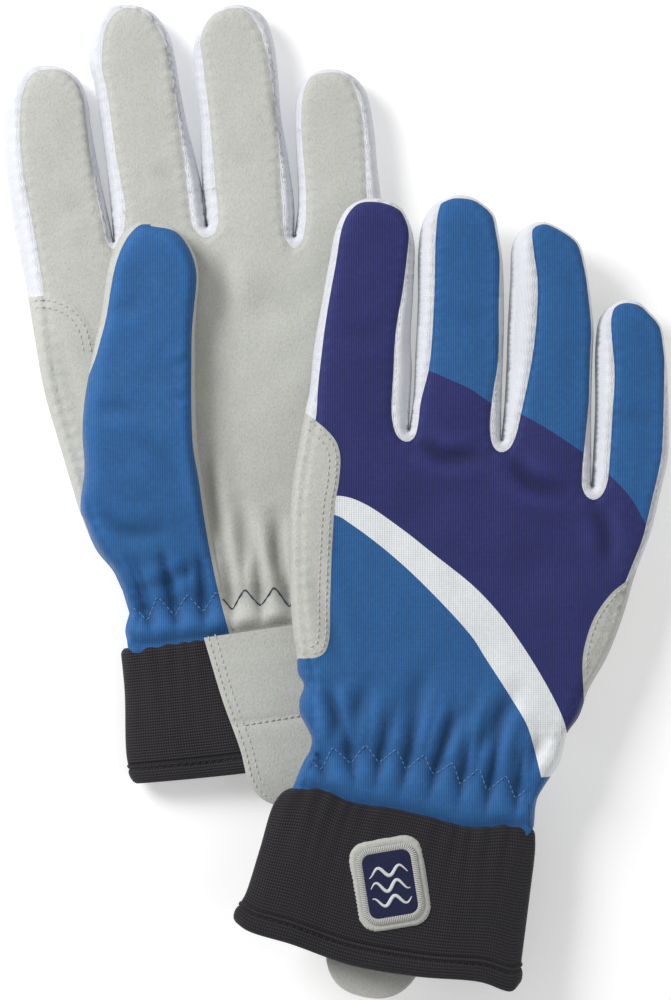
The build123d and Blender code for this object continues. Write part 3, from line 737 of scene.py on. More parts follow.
def finger_of(name, points):
    """The finger that holds each point, as a number, or -1 in the hand."""
    number = np.zeros(len(points), int)
    for gap in GAPS[name]:
        x, y = np.array(gap).T
        number += points[:, 0] > np.interp(points[:, 1], y, x)
    far = np.empty(len(points))
    for k, finger in enumerate(STALLS[name]):
        base, ahead, _, _ = stall_axes(name, finger)
        far[number == k] = (points[number == k] - base) @ ahead
    return np.where(far > 0, number, -1)


def wrist_distance(name, points):
    """How far each point lies towards the fingers from the line across the wrist."""
    a, b = (np.array(p) for p in WRIST[name])
    across = (b - a) / np.linalg.norm(b - a)
    return (points - a) @ np.array([-across[1], across[0]])


# Soft creases: the points each passes through, its width and its depth.
CREASES = {
    "left": [
        ([(-41, 84), (-39.5, 70), (-40, 57)], 4.0, 0.7),
        ([(-44.5, 16), (-43.5, 0), (-40, -18)], 2.6, 1.0), ([(-33, -2), (-30.5, -26)], 2.6, 0.8),
        ([(-21, -6), (-20, -28)], 2.4, 0.8), ([(-9, 0), (-8.5, -26)], 2.6, 0.7),
        ([(-36, 60), (-22, 66), (-8, 63)], 6.0, 0.4), ([(-10, 28), (0, 44), (4, 60)], 5.0, 0.4),
        ([(-94, 100), (-84, 97)], 4.0, 0.3), ([(-64, 112), (-54, 108)], 4.0, 0.3),
        ([(-36, 116), (-27, 113)], 4.0, 0.25), ([(-99, 60), (-93, 40), (-88, 22)], 3.0, 0.35),
    ],
    "right": [
        ([(27, 19), (36, 13.5), (43, 13), (50, 13.5)], 3.0, 1.0),
        ([(58, 13), (65, 5), (73, 2), (80, 1)], 3.2, 1.0), ([(88, -4), (91, -12), (92, -24)], 3.0, 0.8),
        ([(-4, -64), (-1, -74), (-2, -86)], 2.2, 1.0), ([(10, -62), (6, -74), (7, -84)], 3.0, 0.8),
        ([(30, -58), (24, -72), (22, -84)], 3.6, 0.7), ([(60, -66), (54, -76), (48, -88)], 3.4, 1.1),
        ([(44, -70), (38, -80), (36, -88)], 3.0, 0.8), ([(70, -80), (66, -90)], 2.6, 0.7),
        ([(-10, -22), (-4, -40), (2, -60)], 3.0, 0.4), ([(2, 58), (10, 55), (18, 56)], 4.0, 0.3),
        ([(40, 62), (52, 58)], 4.5, 0.25), ([(98, 30), (108, 24)], 4.0, 0.3),
        ([(20, -10), (28, -4), (34, 4)], 7.0, 0.35), ([(56, -30), (66, -24), (76, -16)], 7.0, 0.35),
    ],
}


def pressed(points, creases):
    """Height change from soft creases and the ridges beside them."""
    change = np.zeros(len(points))
    for path, width, depth in creases:
        line = smooth(path)
        near, at = to_line(points, line)
        taper = depth * np.sin(np.pi * np.clip(at / lengths(line)[-1], 0.04, 0.96)) ** 0.8
        change -= 1.5 * taper * bell(near, width)
        change += 0.8 * taper * bell(near - 1.9 * width, 1.1 * width)
    return change


GATHER = 9.8  # spacing of the folds that the wrist's elastic makes
# The left elastic where the right glove hides it.
UNDER_RIGHT = [(-15.2, -34.0), (-4.0, -32.4), (12.0, -30.0)]
ZIG = {"left": np.vstack([smooth(ZIG_LEFT), smooth(UNDER_RIGHT)[1:]]), "right": smooth(ZIG_RIGHT)}
CUFF_EDGE = {"left": smooth(CUFF_EDGE_LEFT), "right": smooth(RIGHT_CUFF_TOP)}


def gather_phase(name, along_wrist):
    """Where in its fold the gathered cloth is, as an angle. Folds are uneven, but repeatably so."""
    seed = 5 if name == "left" else 8
    return 2 * math.pi * along_wrist / GATHER + 0.8 * noise(along_wrist, 0 * along_wrist, 23, seed)


def gathers(name, points):
    """The folds above and below the elastic, and how far the elastic pulls the cloth in."""
    d, s = to_line(points, ZIG[name])
    on = along(ZIG[name], s / lengths(ZIG[name])[-1])
    up = np.where(points[:, 1] > on[:, 1], d, -d)
    drift = 0.22 * up * noise(s, 0 * s, 30, 9)
    phase = gather_phase(name, s + drift)
    ridge = 2 * np.abs(np.cos(phase / 2)) ** 0.75 - 1.25
    second = 2 * np.abs(np.cos(phase * 0.77 + 1.1)) ** 0.8 - 1.2
    high = np.where(up > 0, bell(up, 15), bell(up, 9))
    fold = 1.5 * ridge * high + 0.5 * second * bell(up - 10, 10)
    pull = -1.5 * bell(up, 5.0) + 0.35 * bell(up + 7.5, 3.5)
    return fold, pull


def closed(name, inner):
    """A panel's seam line, closed inside the cuff."""
    return np.vstack([inner, np.array(HAND_END[name]) - (0, 4)])


PANEL_STEP = 0.75  # how far a panel stands out beyond the side it is sewn to
SEAM_DIP = 0.75
PUCKER = 4.3  # spacing of the small bumps that the stitches pull up along a seam


def relief(name, points, outer, inner):
    """How far a glove's surface stands from its middle."""
    x, y = points[:, 0], points[:, 1]
    d_out, _ = to_line(points, outer)
    d_in, s_in = to_line(points, inner)
    within = inside(points, closed(name, inner))
    t = d_out / np.maximum(d_out + d_in, 1e-6)
    side = (HALF - PANEL_STEP) * rounded(t, 1.0, 2.0)
    panel = HALF - PANEL_STEP * np.exp(-d_in / 6.0)
    h = np.where(within, panel, side)
    h -= SEAM_DIP * bell(d_in, 0.75) * np.where(within, 1.0, 0.7) * ease(d_out, 0.0, 1.2)
    pucker = np.sin(s_in * 2 * math.pi / PUCKER + 2 * noise(x, y, 9, 3))
    h += 0.16 * pucker * bell(d_in - 1.6, 1.6) * ease(d_out, 0.0, 1.5)
    away = wrist_distance(name, points)
    body = ease(d_out, 0.3, 3.5)
    h += ease(d_out, 0.5, 5.0) * (0.36 * noise(x, y, 19, 1) + 0.16 * noise(x, y, 8, 2))
    fold, pull = gathers(name, points)
    to_cuff, _ = to_line(points, CUFF_EDGE[name])
    edge_y = np.interp(x, CUFF_EDGE[name][:, 0], CUFF_EDGE[name][:, 1])
    clear = np.where(y < edge_y, 0.0, to_cuff)
    h *= (0.8 + 0.2 * ease(away, 6, 34)) * (0.64 + 0.36 * ease(clear, 0.0, 5.5) ** 0.7)
    h += body * (fold * ease(clear, 0.0, 4.5) + pull * ease(clear, 0.0, 3.0))
    h += body * pressed(points, CREASES[name])
    return h


def raised(points, polygon, height, soft=0.5):
    """A patch laid on top: full height inside its outline, falling off at its edge."""
    d, _ = to_line(points, looped(polygon))
    return height * inside(points, polygon) * ease(d, 0.0, soft)


PATCH_THICK = 0.45
TABLE_GAP = 0.02  # the lowest that cloth lies over the table


def hand_shell(name, outer_points, inner, borders):
    """A hand's closed surface, open at the wrist.

    Gives its vertices, its faces, 1 for each face on top and -1 for each one below, how deep each
    vertex lies in a fold, which sets the painted fold shade and ridge highlight, and flat coordinates for
    the side walls. The borders are on top only.
    """
    outer = smooth(outer_points)
    outline = np.vstack([outer, smooth([outer_points[-1], *HAND_END[name], outer_points[0]])[1:-1]])
    crossing = [even(np.array([(a, y), (b, y)], float), GRID) for a, b, y in CROSS_LINES[name]]
    crossing = [line[inside(line, outline)] for line in crossing]
    layers = []
    for sign, own in ((1, borders), (-1, [])):
        points, faces = triangulate(outline, [inner, *own, *crossing, *hinge_segments(name)])
        h = relief(name, points, outer, inner)
        if sign == 1:
            h += raised(points, PATCH[name], PATCH_THICK)
        d, s = to_line(points, outer)
        h[d < 1e-3] = 0.0
        z = np.maximum(middle_height(name, points[:, 0]) + sign * h, TABLE_GAP)
        # Painted shade for the folds and a painted highlight for the ridges, fading out near the outline.
        deep = painted_shade_and_highlight(points, faces, h) * ease(d, 1.5, 5.0)
        wall = np.column_stack([sign * (d + h), s, np.zeros(len(s))])
        side = np.full(len(faces), sign)
        layers.append((np.column_stack([points, z]), faces[:, ::sign], side, deep, wall))
    (top, top_faces, *_), (low, low_faces, *_) = layers
    sides, fold, wall = (np.concatenate([layers[0][k], layers[1][k]]) for k in (2, 3, 4))
    verts, faces, kept = welded(np.vstack([top, low]), np.vstack([top_faces, low_faces + len(top)]))
    return verts, faces, sides, fold[kept], wall[kept]


WRAP = np.vstack([smooth(WRAP_RIGHT), [(84.0, -76.0), (97.0, -66.0), (115.0, -30.0), (103.0, -24.0)]])
NAVY = np.vstack([[(-40, 125), (25.0, 125), (25.0, 43)], smooth(NAVY_TOP), [(125, -20), (125, -92)],
                  smooth(BAND_LOW)[::-1], [(-40, -1.3)]])
STRIPE = np.vstack([smooth(BAND_LOW), [(84.0, -98.0)], smooth(BAND_LOW2)[::-1]])
PATCH = {
    "left": np.vstack([smooth(PATCH_SEAM_LEFT), PATCH_OUTSIDE_LEFT]),
    "right": np.vstack([smooth(PATCH_SEAM_RIGHT), PATCH_OUTSIDE_RIGHT]),
}


def label_faces(name, centres, sides, inner):
    """Which piece each face belongs to."""
    palm = 1 if name == "left" else -1
    thumb_side = centres[:, 0] < STALLS[name]["middle"][0]
    panel = inside(centres, closed(name, inner))
    edge = ~panel
    y = centres[:, 1]
    patch_top, patch_low = PATCH_SPAN[name]
    strip, wrap = STRIP_END[name], WRAP_END[name]
    out = np.full(len(centres), "gusset_webs", dtype=object)
    out[panel & (sides == palm)] = "palm_panel"
    out[panel & (sides == -palm)] = "back_panel"
    out[edge & thumb_side & (y < patch_low)] = "back_edge_thumb"
    out[edge & ~thumb_side & (y < strip) & (y >= wrap)] = "palm_edge"
    out[edge & ~thumb_side & (y < wrap)] = "back_edge_little"
    if name == "right":
        on_back = edge & ~thumb_side & (y < strip) & (sides == 1)
        out[on_back] = np.where(y[on_back] > WEBS_END, "gusset_webs", "back_edge_little")
        out[inside(centres, WRAP) & (sides == 1)] = "palm_edge"
    patch = inside(centres, PATCH[name]) & (y < patch_top + 8)
    outer_edge = edge & (centres[:, 0] < OUTER_EDGE[name])
    out[patch | (outer_edge & (y < patch_top) & (y >= patch_low))] = "thumb_crotch_patch"
    finger = finger_of(name, centres)
    for number, stall in enumerate(STALLS[name]):
        hit = finger == number
        out[hit] = f"{stall}_gusset"
        out[hit & panel & (sides == palm)] = f"{stall}_front"
        out[hit & panel & (sides == -palm)] = f"{stall}_back"
    return out


HIDDEN_BAND = {"top": 84, "stripe": 44, "low": 36}  # the left glove's back has straight bands


def printed(name, centres, label):
    """The colour of the printed back: 0 blue, 1 navy, 2 white."""
    if name == "left":
        y = centres[:, 1]
        navy = (y < HIDDEN_BAND["top"]) & (y > HIDDEN_BAND["stripe"])
        at = np.where(navy | (label == "index_back"), 1, 0)
        at[(y <= HIDDEN_BAND["stripe"]) & (y > HIDDEN_BAND["low"])] = 2
        at[(label == "back_edge_thumb") | (label == "back_edge_little")] = 0
        return at
    at = np.where(inside(centres, NAVY), 1, 0)
    at[inside(centres, STRIPE)] = 2
    at[label == "index_back"] = 1
    return at


def settle(obj, body, slot_name, *nodes):
    """Attaches a piece to its body and hides the CAD nodes it stands for. The slot name is not used."""
    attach(obj, body)
    if nodes:
        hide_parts(*nodes)


def bend(obj, name, moving, base, ahead, height, reach):
    """Bakes a piece's placement into its mesh; it does not bend the piece. The moving part, hinge and reach
    that it is given are not used.
    """
    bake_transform(obj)


FINGER_BEND, THUMB_BEND, TAB_BEND = 11, 12, 5


def fabric(part):
    """The materials and the slot of a piece of the hand."""
    if part.endswith("_front") or part in ("palm_panel", "palm_edge", "thumb_crotch_patch"):
        return [SUEDE], "suede_grey"
    if part.endswith("_gusset") or part == "gusset_webs":
        return [WHITE], "fabric_white"
    return [BLUE, NAVY_FABRIC, PRINT_WHITE], "fabric_navy" if part == "index_back" else "fabric_blue"


def build_hand(name, shell, inner, drop=None):
    """Makes the named pieces of one hand from its closed surface."""
    verts, faces, sides, fold, wall = shell
    centres = verts[faces].mean(1)[:, :2]
    label = label_faces(name, centres, sides, inner)
    if drop is not None:
        label[drop(centres) & (sides == 1)] = "none"
    normals = vertex_normals(verts, faces)
    for part in sorted(set(label) - {"none"}):
        pick = label == part
        mats, slot_name = fabric(part)
        flow = wall if mats[0] is WHITE else None
        obj = make(f"{name}_{part}", verts, faces[pick], mats[0], normals, flow, fold)
        if len(mats) > 1:
            for m in mats[1:]:
                obj.data.materials.append(m)
            print_at = printed(name, centres[pick], label[pick]).astype(np.int32)
            obj.data.polygons.foreach_set("material_index", print_at)
        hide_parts(f"{name}_{part}")
        finger = part.split("_")[0]
        if finger in STALLS[name]:
            base, ahead, _, _ = stall_axes(name, finger)
            top = float(middle_height(name, np.array([base[0]]))[0] + HALF)
            bend(obj, name, finger, base, ahead, top, FINGER_BEND)
        else:
            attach(obj, f"{name}_hand")


# ---- Left hand ----

LEFT_LINE = smooth(LEFT_OUT)
left_in = kept_inside(smooth(LEFT_IN), LEFT_LINE)
thumb_line = smooth(THUMB_OUT)


def left_height(points):
    """Height of the left palm's surface."""
    points = np.asarray(points, float)
    patch = raised(points, PATCH["left"], PATCH_THICK)
    return LEFT_MID + (relief("left", points, LEFT_LINE, left_in) + patch)


def under_thumb(centres):
    """The palm where the fixed thumb base covers it."""
    d, _ = to_line(centres, looped(thumb_line))
    deep = (d > 2.0) | (centres[:, 1] < -44)
    return inside(centres, thumb_line) & deep & (centres[:, 1] < 4)


shell = hand_shell("left", LEFT_OUT, left_in, [smooth(PATCH_SEAM_LEFT)])
build_hand("left", shell, left_in, under_thumb)

# ---- Right hand ----

RIGHT_LINE = smooth(RIGHT_OUT)
right_in = kept_inside(smooth(RIGHT_IN), RIGHT_LINE)


def right_height(points):
    """Height of the right glove's back."""
    points = np.asarray(points, float)
    patch = raised(points, PATCH["right"], PATCH_THICK)
    return middle_height("right", points[:, 0]) + (relief("right", points, RIGHT_LINE, right_in) + patch)


borders = [smooth(line) for line in (PATCH_SEAM_RIGHT, BAND_LOW, BAND_LOW2, NAVY_TOP, WRAP_RIGHT)]
build_hand("right", hand_shell("right", RIGHT_OUT, right_in, borders), right_in)


# ---- Thumbs ----

THUMB_BASE, THUMB_LEAN = np.array([-68.1, 23.2]), math.radians(5.4)
THUMB_AHEAD = np.array([math.sin(THUMB_LEAN), math.cos(THUMB_LEAN)])
THUMB_MID, THUMB_HALF, THUMB_TOP = 20.3, 6.0, 26.3
THUMB_FABRIC = {
    "base": (BLUE, "fabric_blue"), "back": (BLUE, "fabric_blue"),
    "front": (SUEDE, "suede_grey"), "base_rim": (SUEDE, "suede_grey"),
}
THUMB_CREASES = [
    ([(-86, -1), (-74, -11), (-64, -12), (-56, -10)], 3.2, 0.6),
    ([(-72, -33.5), (-62, -31.5), (-54, -28), (-47, -23)], 2.6, 1.1),
    ([(-55, 45), (-48, 46)], 1.6, 0.4), ([(-55, 34), (-49, 33)], 1.6, 0.4),
    ([(-85, 26), (-76, 30), (-66, 29)], 3.0, 0.35), ([(-68, 20), (-58, 12), (-54, 2)], 4.5, 0.35),
    ([(-78, 62), (-66, 66)], 3.0, 0.25),
]
thumb_rim = smooth(THUMB_RIM)
thumb_left_rim = smooth(THUMB_RIM_LEFT)
thumb_panel = np.vstack([thumb_rim, [(-60, -60), (-95, -60), (-95, 36)], thumb_left_rim])


def thumb_top(points):
    """Height of the left thumb: a stall over the palm, then a ramp that runs down to the wrist."""
    x, y = points[:, 0], points[:, 1]
    far = (points - THUMB_BASE) @ THUMB_AHEAD
    palm = left_height(points) + 0.5
    d, _ = to_line(points, looped(thumb_line))
    away = wrist_distance("left", points)
    d = np.where(away < 12, np.maximum(d, 6 * ease(d, 0.0, 1.0)), d)
    edge = palm + (THUMB_MID - palm) * ease(far, -16, 0)
    ramp = ease(far, -66, 2)
    crown = 14.4 + 11.4 * ramp + 0.5 * ramp * (1 - np.exp(-d / 7))
    crown = np.where(far > -20, crown, np.minimum(crown, palm + 11.9 * ramp + 0.3))
    z = edge + (np.maximum(crown, edge) - edge) * rounded(d, 5.5)
    d_rim, s_rim = to_line(points, thumb_rim)
    z -= 0.6 * bell(d_rim, 0.7) * ease(far, -66, -50)
    z -= 0.45 * bell(to_line(points, thumb_left_rim)[0], 0.6)
    z += 0.14 * np.sin(s_rim * 2 * math.pi / 3.6) * bell(d_rim - 1.3, 1.4)
    body = ease(d, 0.5, 4.0)
    z += body * (0.3 * noise(x, y, 14, 11) + 0.14 * noise(x, y, 6, 12))
    z += body * pressed(points, THUMB_CREASES)
    fold, _ = gathers("left", points)
    share = ease(away, 9, 30)
    return share * (z + 0.5 * fold * body) + (1 - share) * (palm - 0.5 + 0.4 * ease(d, 0.0, 0.8))


def thumb_pieces(name, parts, verts, faces, kind, fold, hinge):
    """Cuts a thumb's surface into its named pieces."""
    normals = vertex_normals(verts, faces)
    for part in parts:
        material, slot_name = THUMB_FABRIC[part]
        obj = make(f"{name}_thumb_{part}", verts, faces[kind == part], material, normals, fold=fold)
        if part != "base_rim":
            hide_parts(f"{name}_thumb_{part}")
        if part in ("front", "back"):
            bend(obj, name, "thumb", *hinge, THUMB_BEND)
        else:
            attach(obj, f"{name}_hand")


def left_thumb():
    """The left thumb, folded over the palm: a closed stall in one skin with its ramp."""
    side = np.array([THUMB_AHEAD[1], -THUMB_AHEAD[0]])
    hinge_row = even(np.array([THUMB_BASE - side * 19.5, THUMB_BASE + side * 21]), GRID)
    points, top_faces = triangulate(thumb_line, [thumb_rim, thumb_left_rim, hinge_row])
    z = thumb_top(points)
    d, _ = to_line(points, looped(thumb_line))
    far = (points - THUMB_BASE) @ THUMB_AHEAD
    web = left_height(points) + 0.2
    web += (np.maximum(THUMB_MID - THUMB_HALF * rounded(d, 5.0), 14.3) - web) * ease(far, -17, 0)
    low = np.where(d < 1e-3, z, np.minimum(web, z))
    verts = np.vstack([np.column_stack([points, z]), np.column_stack([points, low])])
    # Painted shade in the thumb's folds and a painted highlight on its ridges, on its top only.
    fold = np.concatenate([painted_shade_and_highlight(points, top_faces, z) * ease(d, 1.5, 5.0), np.zeros(len(points))])
    centres = points[top_faces].mean(1)
    far = (centres - THUMB_BASE) @ THUMB_AHEAD
    under = far > -18
    verts, faces, kept = welded(verts, np.vstack([top_faces, top_faces[under][:, ::-1] + len(points)]))
    suede = np.where(far > 0, "front", "base_rim")
    blue = np.where(far > 0, "back", "base")
    kind = np.concatenate([np.where(inside(centres, thumb_panel), blue, suede), suede[under]])
    parts = ("base", "back", "front", "base_rim")
    thumb_pieces("left", parts, verts, faces, kind, fold[kept], (THUMB_BASE, THUMB_AHEAD, THUMB_TOP))


def right_thumb():
    """The right thumb, folded under the palm: a closed stall that grows out of a short base."""
    base = np.array([32.5, -55.7])
    half, tip = 15.0, 12.25  # half the stall's width at its base and near its end
    reach = 67.0 - tip
    arc = [(-tip * math.cos(a), reach + tip * math.sin(a)) for a in np.linspace(0.3, math.pi - 0.3, 8)]
    outline = [(-half - 3, -13), (-half, 0), (-tip, reach), *arc, (tip, reach), (half, 0)]
    outline += [(half + 2, -13), (half + 2, -13)]
    line = smooth(outline) + base
    line = np.vstack([line, even(np.array([line[-1], line[0]]), GRID)[1:-1]])
    row = even(np.array([(-half - 2, 0), (half + 2, 0)]) + base, GRID)
    points, top = triangulate(line, [row])
    d, _ = to_line(points, looped(line))
    x, far = (points - base).T
    mid = 8.66 - x * math.tan(LEAN) + 4.5 * ease(-far, 0, 13)
    tall = (5.9 - 3.4 * ease(-far, 0, 13)) * rounded(d, 5.0)
    tall += ease(d, 1, 4) * 0.25 * noise(points[:, 0], points[:, 1], 12, 21)
    low = np.maximum(mid - tall, 0.3)
    verts = np.vstack([np.column_stack([points, mid + tall]), np.column_stack([points, low])])
    verts, faces, _ = welded(verts, np.vstack([top, top[:, ::-1] + len(points)]))
    stall = points[top].mean(1)[:, 1] > base[1]
    kind = np.concatenate([np.where(stall, "front", "base"), np.where(stall, "back", "base")])
    hinge = (base, np.array([0.0, 1.0]), 4.0)
    thumb_pieces("right", ("base", "front", "back"), verts, faces, kind, None, hinge)


left_thumb()
right_thumb()


# ---- Cuffs and their hems ----

CUFF_HALF, CUFF_MID = 5.35, 6.95
HEM = 7.0  # how wide the binding is
MOUTH = [0.0, 0.002, 0.008, 0.018, 0.03, 0.045]  # closer rings, where the cuff curls in under the gathers
ROLL = [
    (0.0, -0.5), (0.03, 0.1), (0.1, 0.5), (0.2, 0.35), (0.26, 0.1), (0.34, 0.5), (0.5, 0.85), (0.72, 0.85),
    (0.9, 0.5), (1.0, -0.1), (1.03, -0.8), (1.0, -1.5), (0.9, -2.0), (0.6, -2.1), (0.2, -1.9), (0.0, -1.6),
]


def squared(value, power):
    """A sine or cosine pushed out towards 1 and -1, which squares off the outline that it draws."""
    return np.sign(value) * np.abs(value) ** power


def eased(profile, count=4):
    """More points along a list of (place, offset) pairs, rounding its corners."""
    p = np.array(profile)
    ends = np.vstack([2 * p[0] - p[1], p, 2 * p[-1] - p[-2]])
    out = []
    for a, b, c, d in zip(ends[:-3], ends[1:-2], ends[2:-1], ends[3:]):
        for t in np.linspace(0, 1, count, endpoint=False):
            square, cube = (2 * a - 5 * b + 4 * c - d) * t * t, (3 * b - a - 3 * c + d) * t ** 3
            out.append(0.5 * (2 * b + (c - a) * t + square + cube))
    return np.array([*out, p[-1]])


class Cuff:
    """A flattened knit tube between four edge lines, as seen from above."""

    def __init__(self, name, wrist, hem, left, right):
        self.name = name
        self.wrist, self.hem = smooth(wrist, 1.0), smooth(hem, 1.0)
        self.left, self.right = smooth(left, 1.0), smooth(right, 1.0)
        self.long = lengths(self.left)[-1]

    def at(self, share, down):
        """Points `share` of the way across, 0 to 1, and `down` of the way to the hem, past it, or before."""
        s, v = (a.astype(float) for a in np.broadcast_arrays(share, down))
        v_in = np.clip(v, 0, 1)
        top, low = along(self.wrist, s), along(self.hem, s)
        one, two = along(self.left, v_in), along(self.right, v_in)
        s, v = s[:, None], v[:, None]
        flat = (1 - v) * top + v * low + (1 - s) * one + s * two
        flat -= (1 - v) * ((1 - s) * self.wrist[0] + s * self.wrist[-1])
        flat -= v * ((1 - s) * self.hem[0] + s * self.hem[-1])
        beyond = np.maximum(v - 1, 0) + np.minimum(v, 0)
        return flat + beyond * (self.hem.mean(0) - self.wrist.mean(0))

    def mid(self, x):
        return np.full_like(x, CUFF_MID) if self.name == "left" else middle_height("right", x)

    def ring(self, down, out, inset=0.0, count=200):
        """One loop round the tube. `out` pushes it off the tube's surface."""
        angle = np.linspace(0, 2 * math.pi, count, endpoint=False)
        across, lift = squared(np.cos(angle), 2 / 3), squared(np.sin(angle), 2 / 3)
        first, last = self.at([0.0, 1.0], min(down, 1))
        wide = np.linalg.norm(last - first)
        u, deep = across * wide / 2, down * self.long
        rib = np.sin(u * 2 * math.pi / 6.1 + 2.2 * noise(u, np.full_like(u, deep * 0.3), 8, 31))
        slack = noise(u, np.full_like(u, deep * 0.5), 11, 32 + (lift > 0))
        out = out + (0.42 * math.exp(-deep / 16) * rib + 0.3 * slack * (0.4 + down)) * np.abs(lift)
        share = 0.5 + across * (0.5 + (out - inset) / wide)
        within = np.clip(share, 0, 1)
        flat = self.at(within, down) + np.outer(share - within, last - first)
        return np.column_stack([flat, self.mid(flat[:, 0]) + lift * (CUFF_HALF + out)])

    def top(self, share, down, out):
        """Spots on the tube's upper face."""
        flat = self.at(share, down)
        lift = (1 - np.abs(2 * share - 1) ** 3) ** (1 / 3)
        return np.column_stack([flat, self.mid(flat[:, 0]) + lift * (CUFF_HALF + out)])

    def build(self):
        """The tube, with its inner wall, and the binding rolled round its hem."""
        share = 1 - HEM / self.long
        downs = np.concatenate([MOUTH, np.linspace(0.06, share, 66)])
        outs = -1.3 * (1 - np.clip(downs / MOUTH[-1], 0, 1)) ** 2.2
        back = np.linspace(share, 0.0, 24)
        rings = [self.ring(d, o) for d, o in zip(downs, outs)] + [self.ring(d, -1.5) for d in back]
        around = lengths(rings[20])
        self.piece("cuff", rings, [*downs, *back], around)
        roll = eased(ROLL)
        downs = share + (1 - share) * roll[:, 0]
        self.piece("hem_binding", [self.ring(d, o) for d, o in zip(downs, roll[:, 1])], downs, around)

    def lining(self):
        """The lining seen through the mouth: a sleeve that closes to a slit inside the hand."""
        downs = np.linspace(0.22, -0.75, 26)
        rings = [self.ring(d, -1.7 - 3.5 * ease(-d, -0.2, 0.1), 7.5 * ease(-d, -0.1, 0.15)) for d in downs]
        verts, faces = loft(rings)
        obj = make(f"{self.name}_hand_lining", verts, faces, LINING, vertex_normals(verts, faces))
        settle(obj, f"{self.name}_hand", "lining_white", f"{self.name}_hand_lining")

    def piece(self, part, rings, downs, around):
        verts, faces = loft(rings)
        faces = faces[:, ::-1]
        flow = [np.column_stack([around, np.full(len(around), -d * self.long), 0 * around]) for d in downs]
        obj = make(f"{self.name}_{part}", verts, faces, BLACK, vertex_normals(verts, faces), np.vstack(flow))
        extra = [f"{self.name}_wrist_elastic"] if part == "cuff" else []
        settle(obj, f"{self.name}_hand", "elastic_black", f"{self.name}_{part}", *extra)


cuffs = [
    Cuff("left", CUFF_EDGE_LEFT, LEFT_CUFF_BOTTOM, LEFT_CUFF, LEFT_CUFF_RIGHT),
    Cuff("right", RIGHT_CUFF_TOP, RIGHT_CUFF_BOTTOM, RIGHT_CUFF_LEFT, RIGHT_CUFF_RIGHT),
]
for cuff in cuffs:
    cuff.build()
    cuff.lining()


# ---- Pull tabs ----

TAB_THICK = 1.3
TAB_HINGE_HEIGHT = {"left": 12.4, "right": 18.0}


def strap_ring(left, right, z, slope, count=36):
    """A loop round a strap's cross-section between two edge points."""
    angle = np.linspace(0, 2 * math.pi, count, endpoint=False)
    half = (right - left) / 2
    wide = max(np.linalg.norm(half), 0.05)
    across = squared(np.cos(angle), min(1.0, 2 / (2.2 + wide * 0.5)))
    lift = squared(np.sin(angle), 0.55)
    flat = (left + right) / 2 + across[:, None] * half
    thick = TAB_THICK / 2 * np.minimum(1, (1.02 - np.abs(across)) * wide / 1.2 + 0.25)
    return np.column_stack([flat, lift * thick + z - slope * (flat[:, 0] - CENTRE_X)])


def tab_pieces(name, left, right, wrist_z, hem_z, sign, reach):
    """The strap over the cuff and its free round end, lofted between two edge lines.

    Gives a line round both, the height of its top face along that line, and the end's hinge.
    """
    shares = np.linspace(0, 1, 54)
    one, two = along(smooth(left, 0.9), shares), along(smooth(right, 0.9), shares)
    middle = (one + two) / 2
    height = wrist_z + (hem_z - wrist_z) * shares
    if name == "left":
        low = one[0, 1] + (one[-1, 1] - one[0, 1]) * shares
        height = height - 0.5 * bell(low + 78, 1.6)
    height = height + sign * np.abs(0.22 * noise(*middle.T, 9, 41) + 0.1 * noise(*middle.T, 4, 42))
    slope = math.tan(LEAN) if name == "right" else 0.0
    base, ahead = middle[-1], (middle[-1] - middle[-6]) / np.linalg.norm(middle[-1] - middle[-6])
    angle = np.linspace(0.03, 1, 30) * math.pi / 2
    half = np.outer(np.maximum(np.cos(angle), 0.02) ** 0.8, (two[-1] - one[-1]) / 2)
    centre = base + np.outer(reach * np.sin(angle), ahead)
    end_height = height[-1] - sign * 0.9 * np.sin(angle) ** 2
    rings = [strap_ring(a, b, z, slope) for a, b, z in zip(one, two, height)]
    ends = zip(centre - half, centre + half, end_height)
    end_rings = [rings[-1], *(strap_ring(a, b, z, slope) for a, b, z in ends)]
    for part, loops in (("pull_tab", rings), ("tab_end", end_rings)):
        verts, faces = loft(loops)
        faces = faces[:, ::-1]
        obj = make(f"{name}_{part}", verts, faces, SUEDE, vertex_normals(verts, faces))
        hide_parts(f"{name}_{part}")
        if part == "pull_tab":
            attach(obj, f"{name}_hand")
        else:
            bend(obj, name, "tab_tip", base, ahead, TAB_HINGE_HEIGHT[name], TAB_BEND)
    around = np.vstack([one, centre - half, (centre + half)[::-1], two[::-1]])
    tall = np.concatenate([height, end_height, end_height[::-1], height[::-1]]) + sign * TAB_THICK / 2
    return around, tall, (base, ahead)


left_tab = tab_pieces("left", LEFT_TAB_EDGE, LEFT_TAB_RIGHT, 13.4, 13.5, 1, 14.0)
tab_pieces("right", RIGHT_TAB_EDGE, RIGHT_TAB_RIGHT, RIGHT_MID - 6.5, RIGHT_MID - 6.6, -1, 16.6)


# ---- Stitching ----

def offset_line(line, distance):
    """The same line moved to its left by a distance."""
    direction = np.gradient(line, axis=0)
    direction /= np.maximum(np.linalg.norm(direction, axis=1, keepdims=True), 1e-9)
    return line + np.column_stack([-direction[:, 1], direction[:, 0]]) * distance


def stitch_parts(line, height, pitch=2.2, radius=0.22, gap=0.6, dip=0.35):
    """A row of stitches along a line: each one a short thread whose ends go into the cloth."""
    total = lengths(line)[-1]
    parts = []
    for k in range(int(total / pitch)):
        jitter = rng.normal(0, 0.05)
        share = (np.linspace(0, 1, 6) * (pitch - gap) + k * pitch + jitter) / total
        flat = along(line, np.clip(share, 0, 1))
        z = height(flat) + np.array([-dip, 0.06, 0.16, 0.16, 0.06, -dip])
        parts.append(tube(np.column_stack([flat, z]), radius * np.array([0.8, 1, 1.08, 1.08, 1, 0.8]), 6))
    return parts


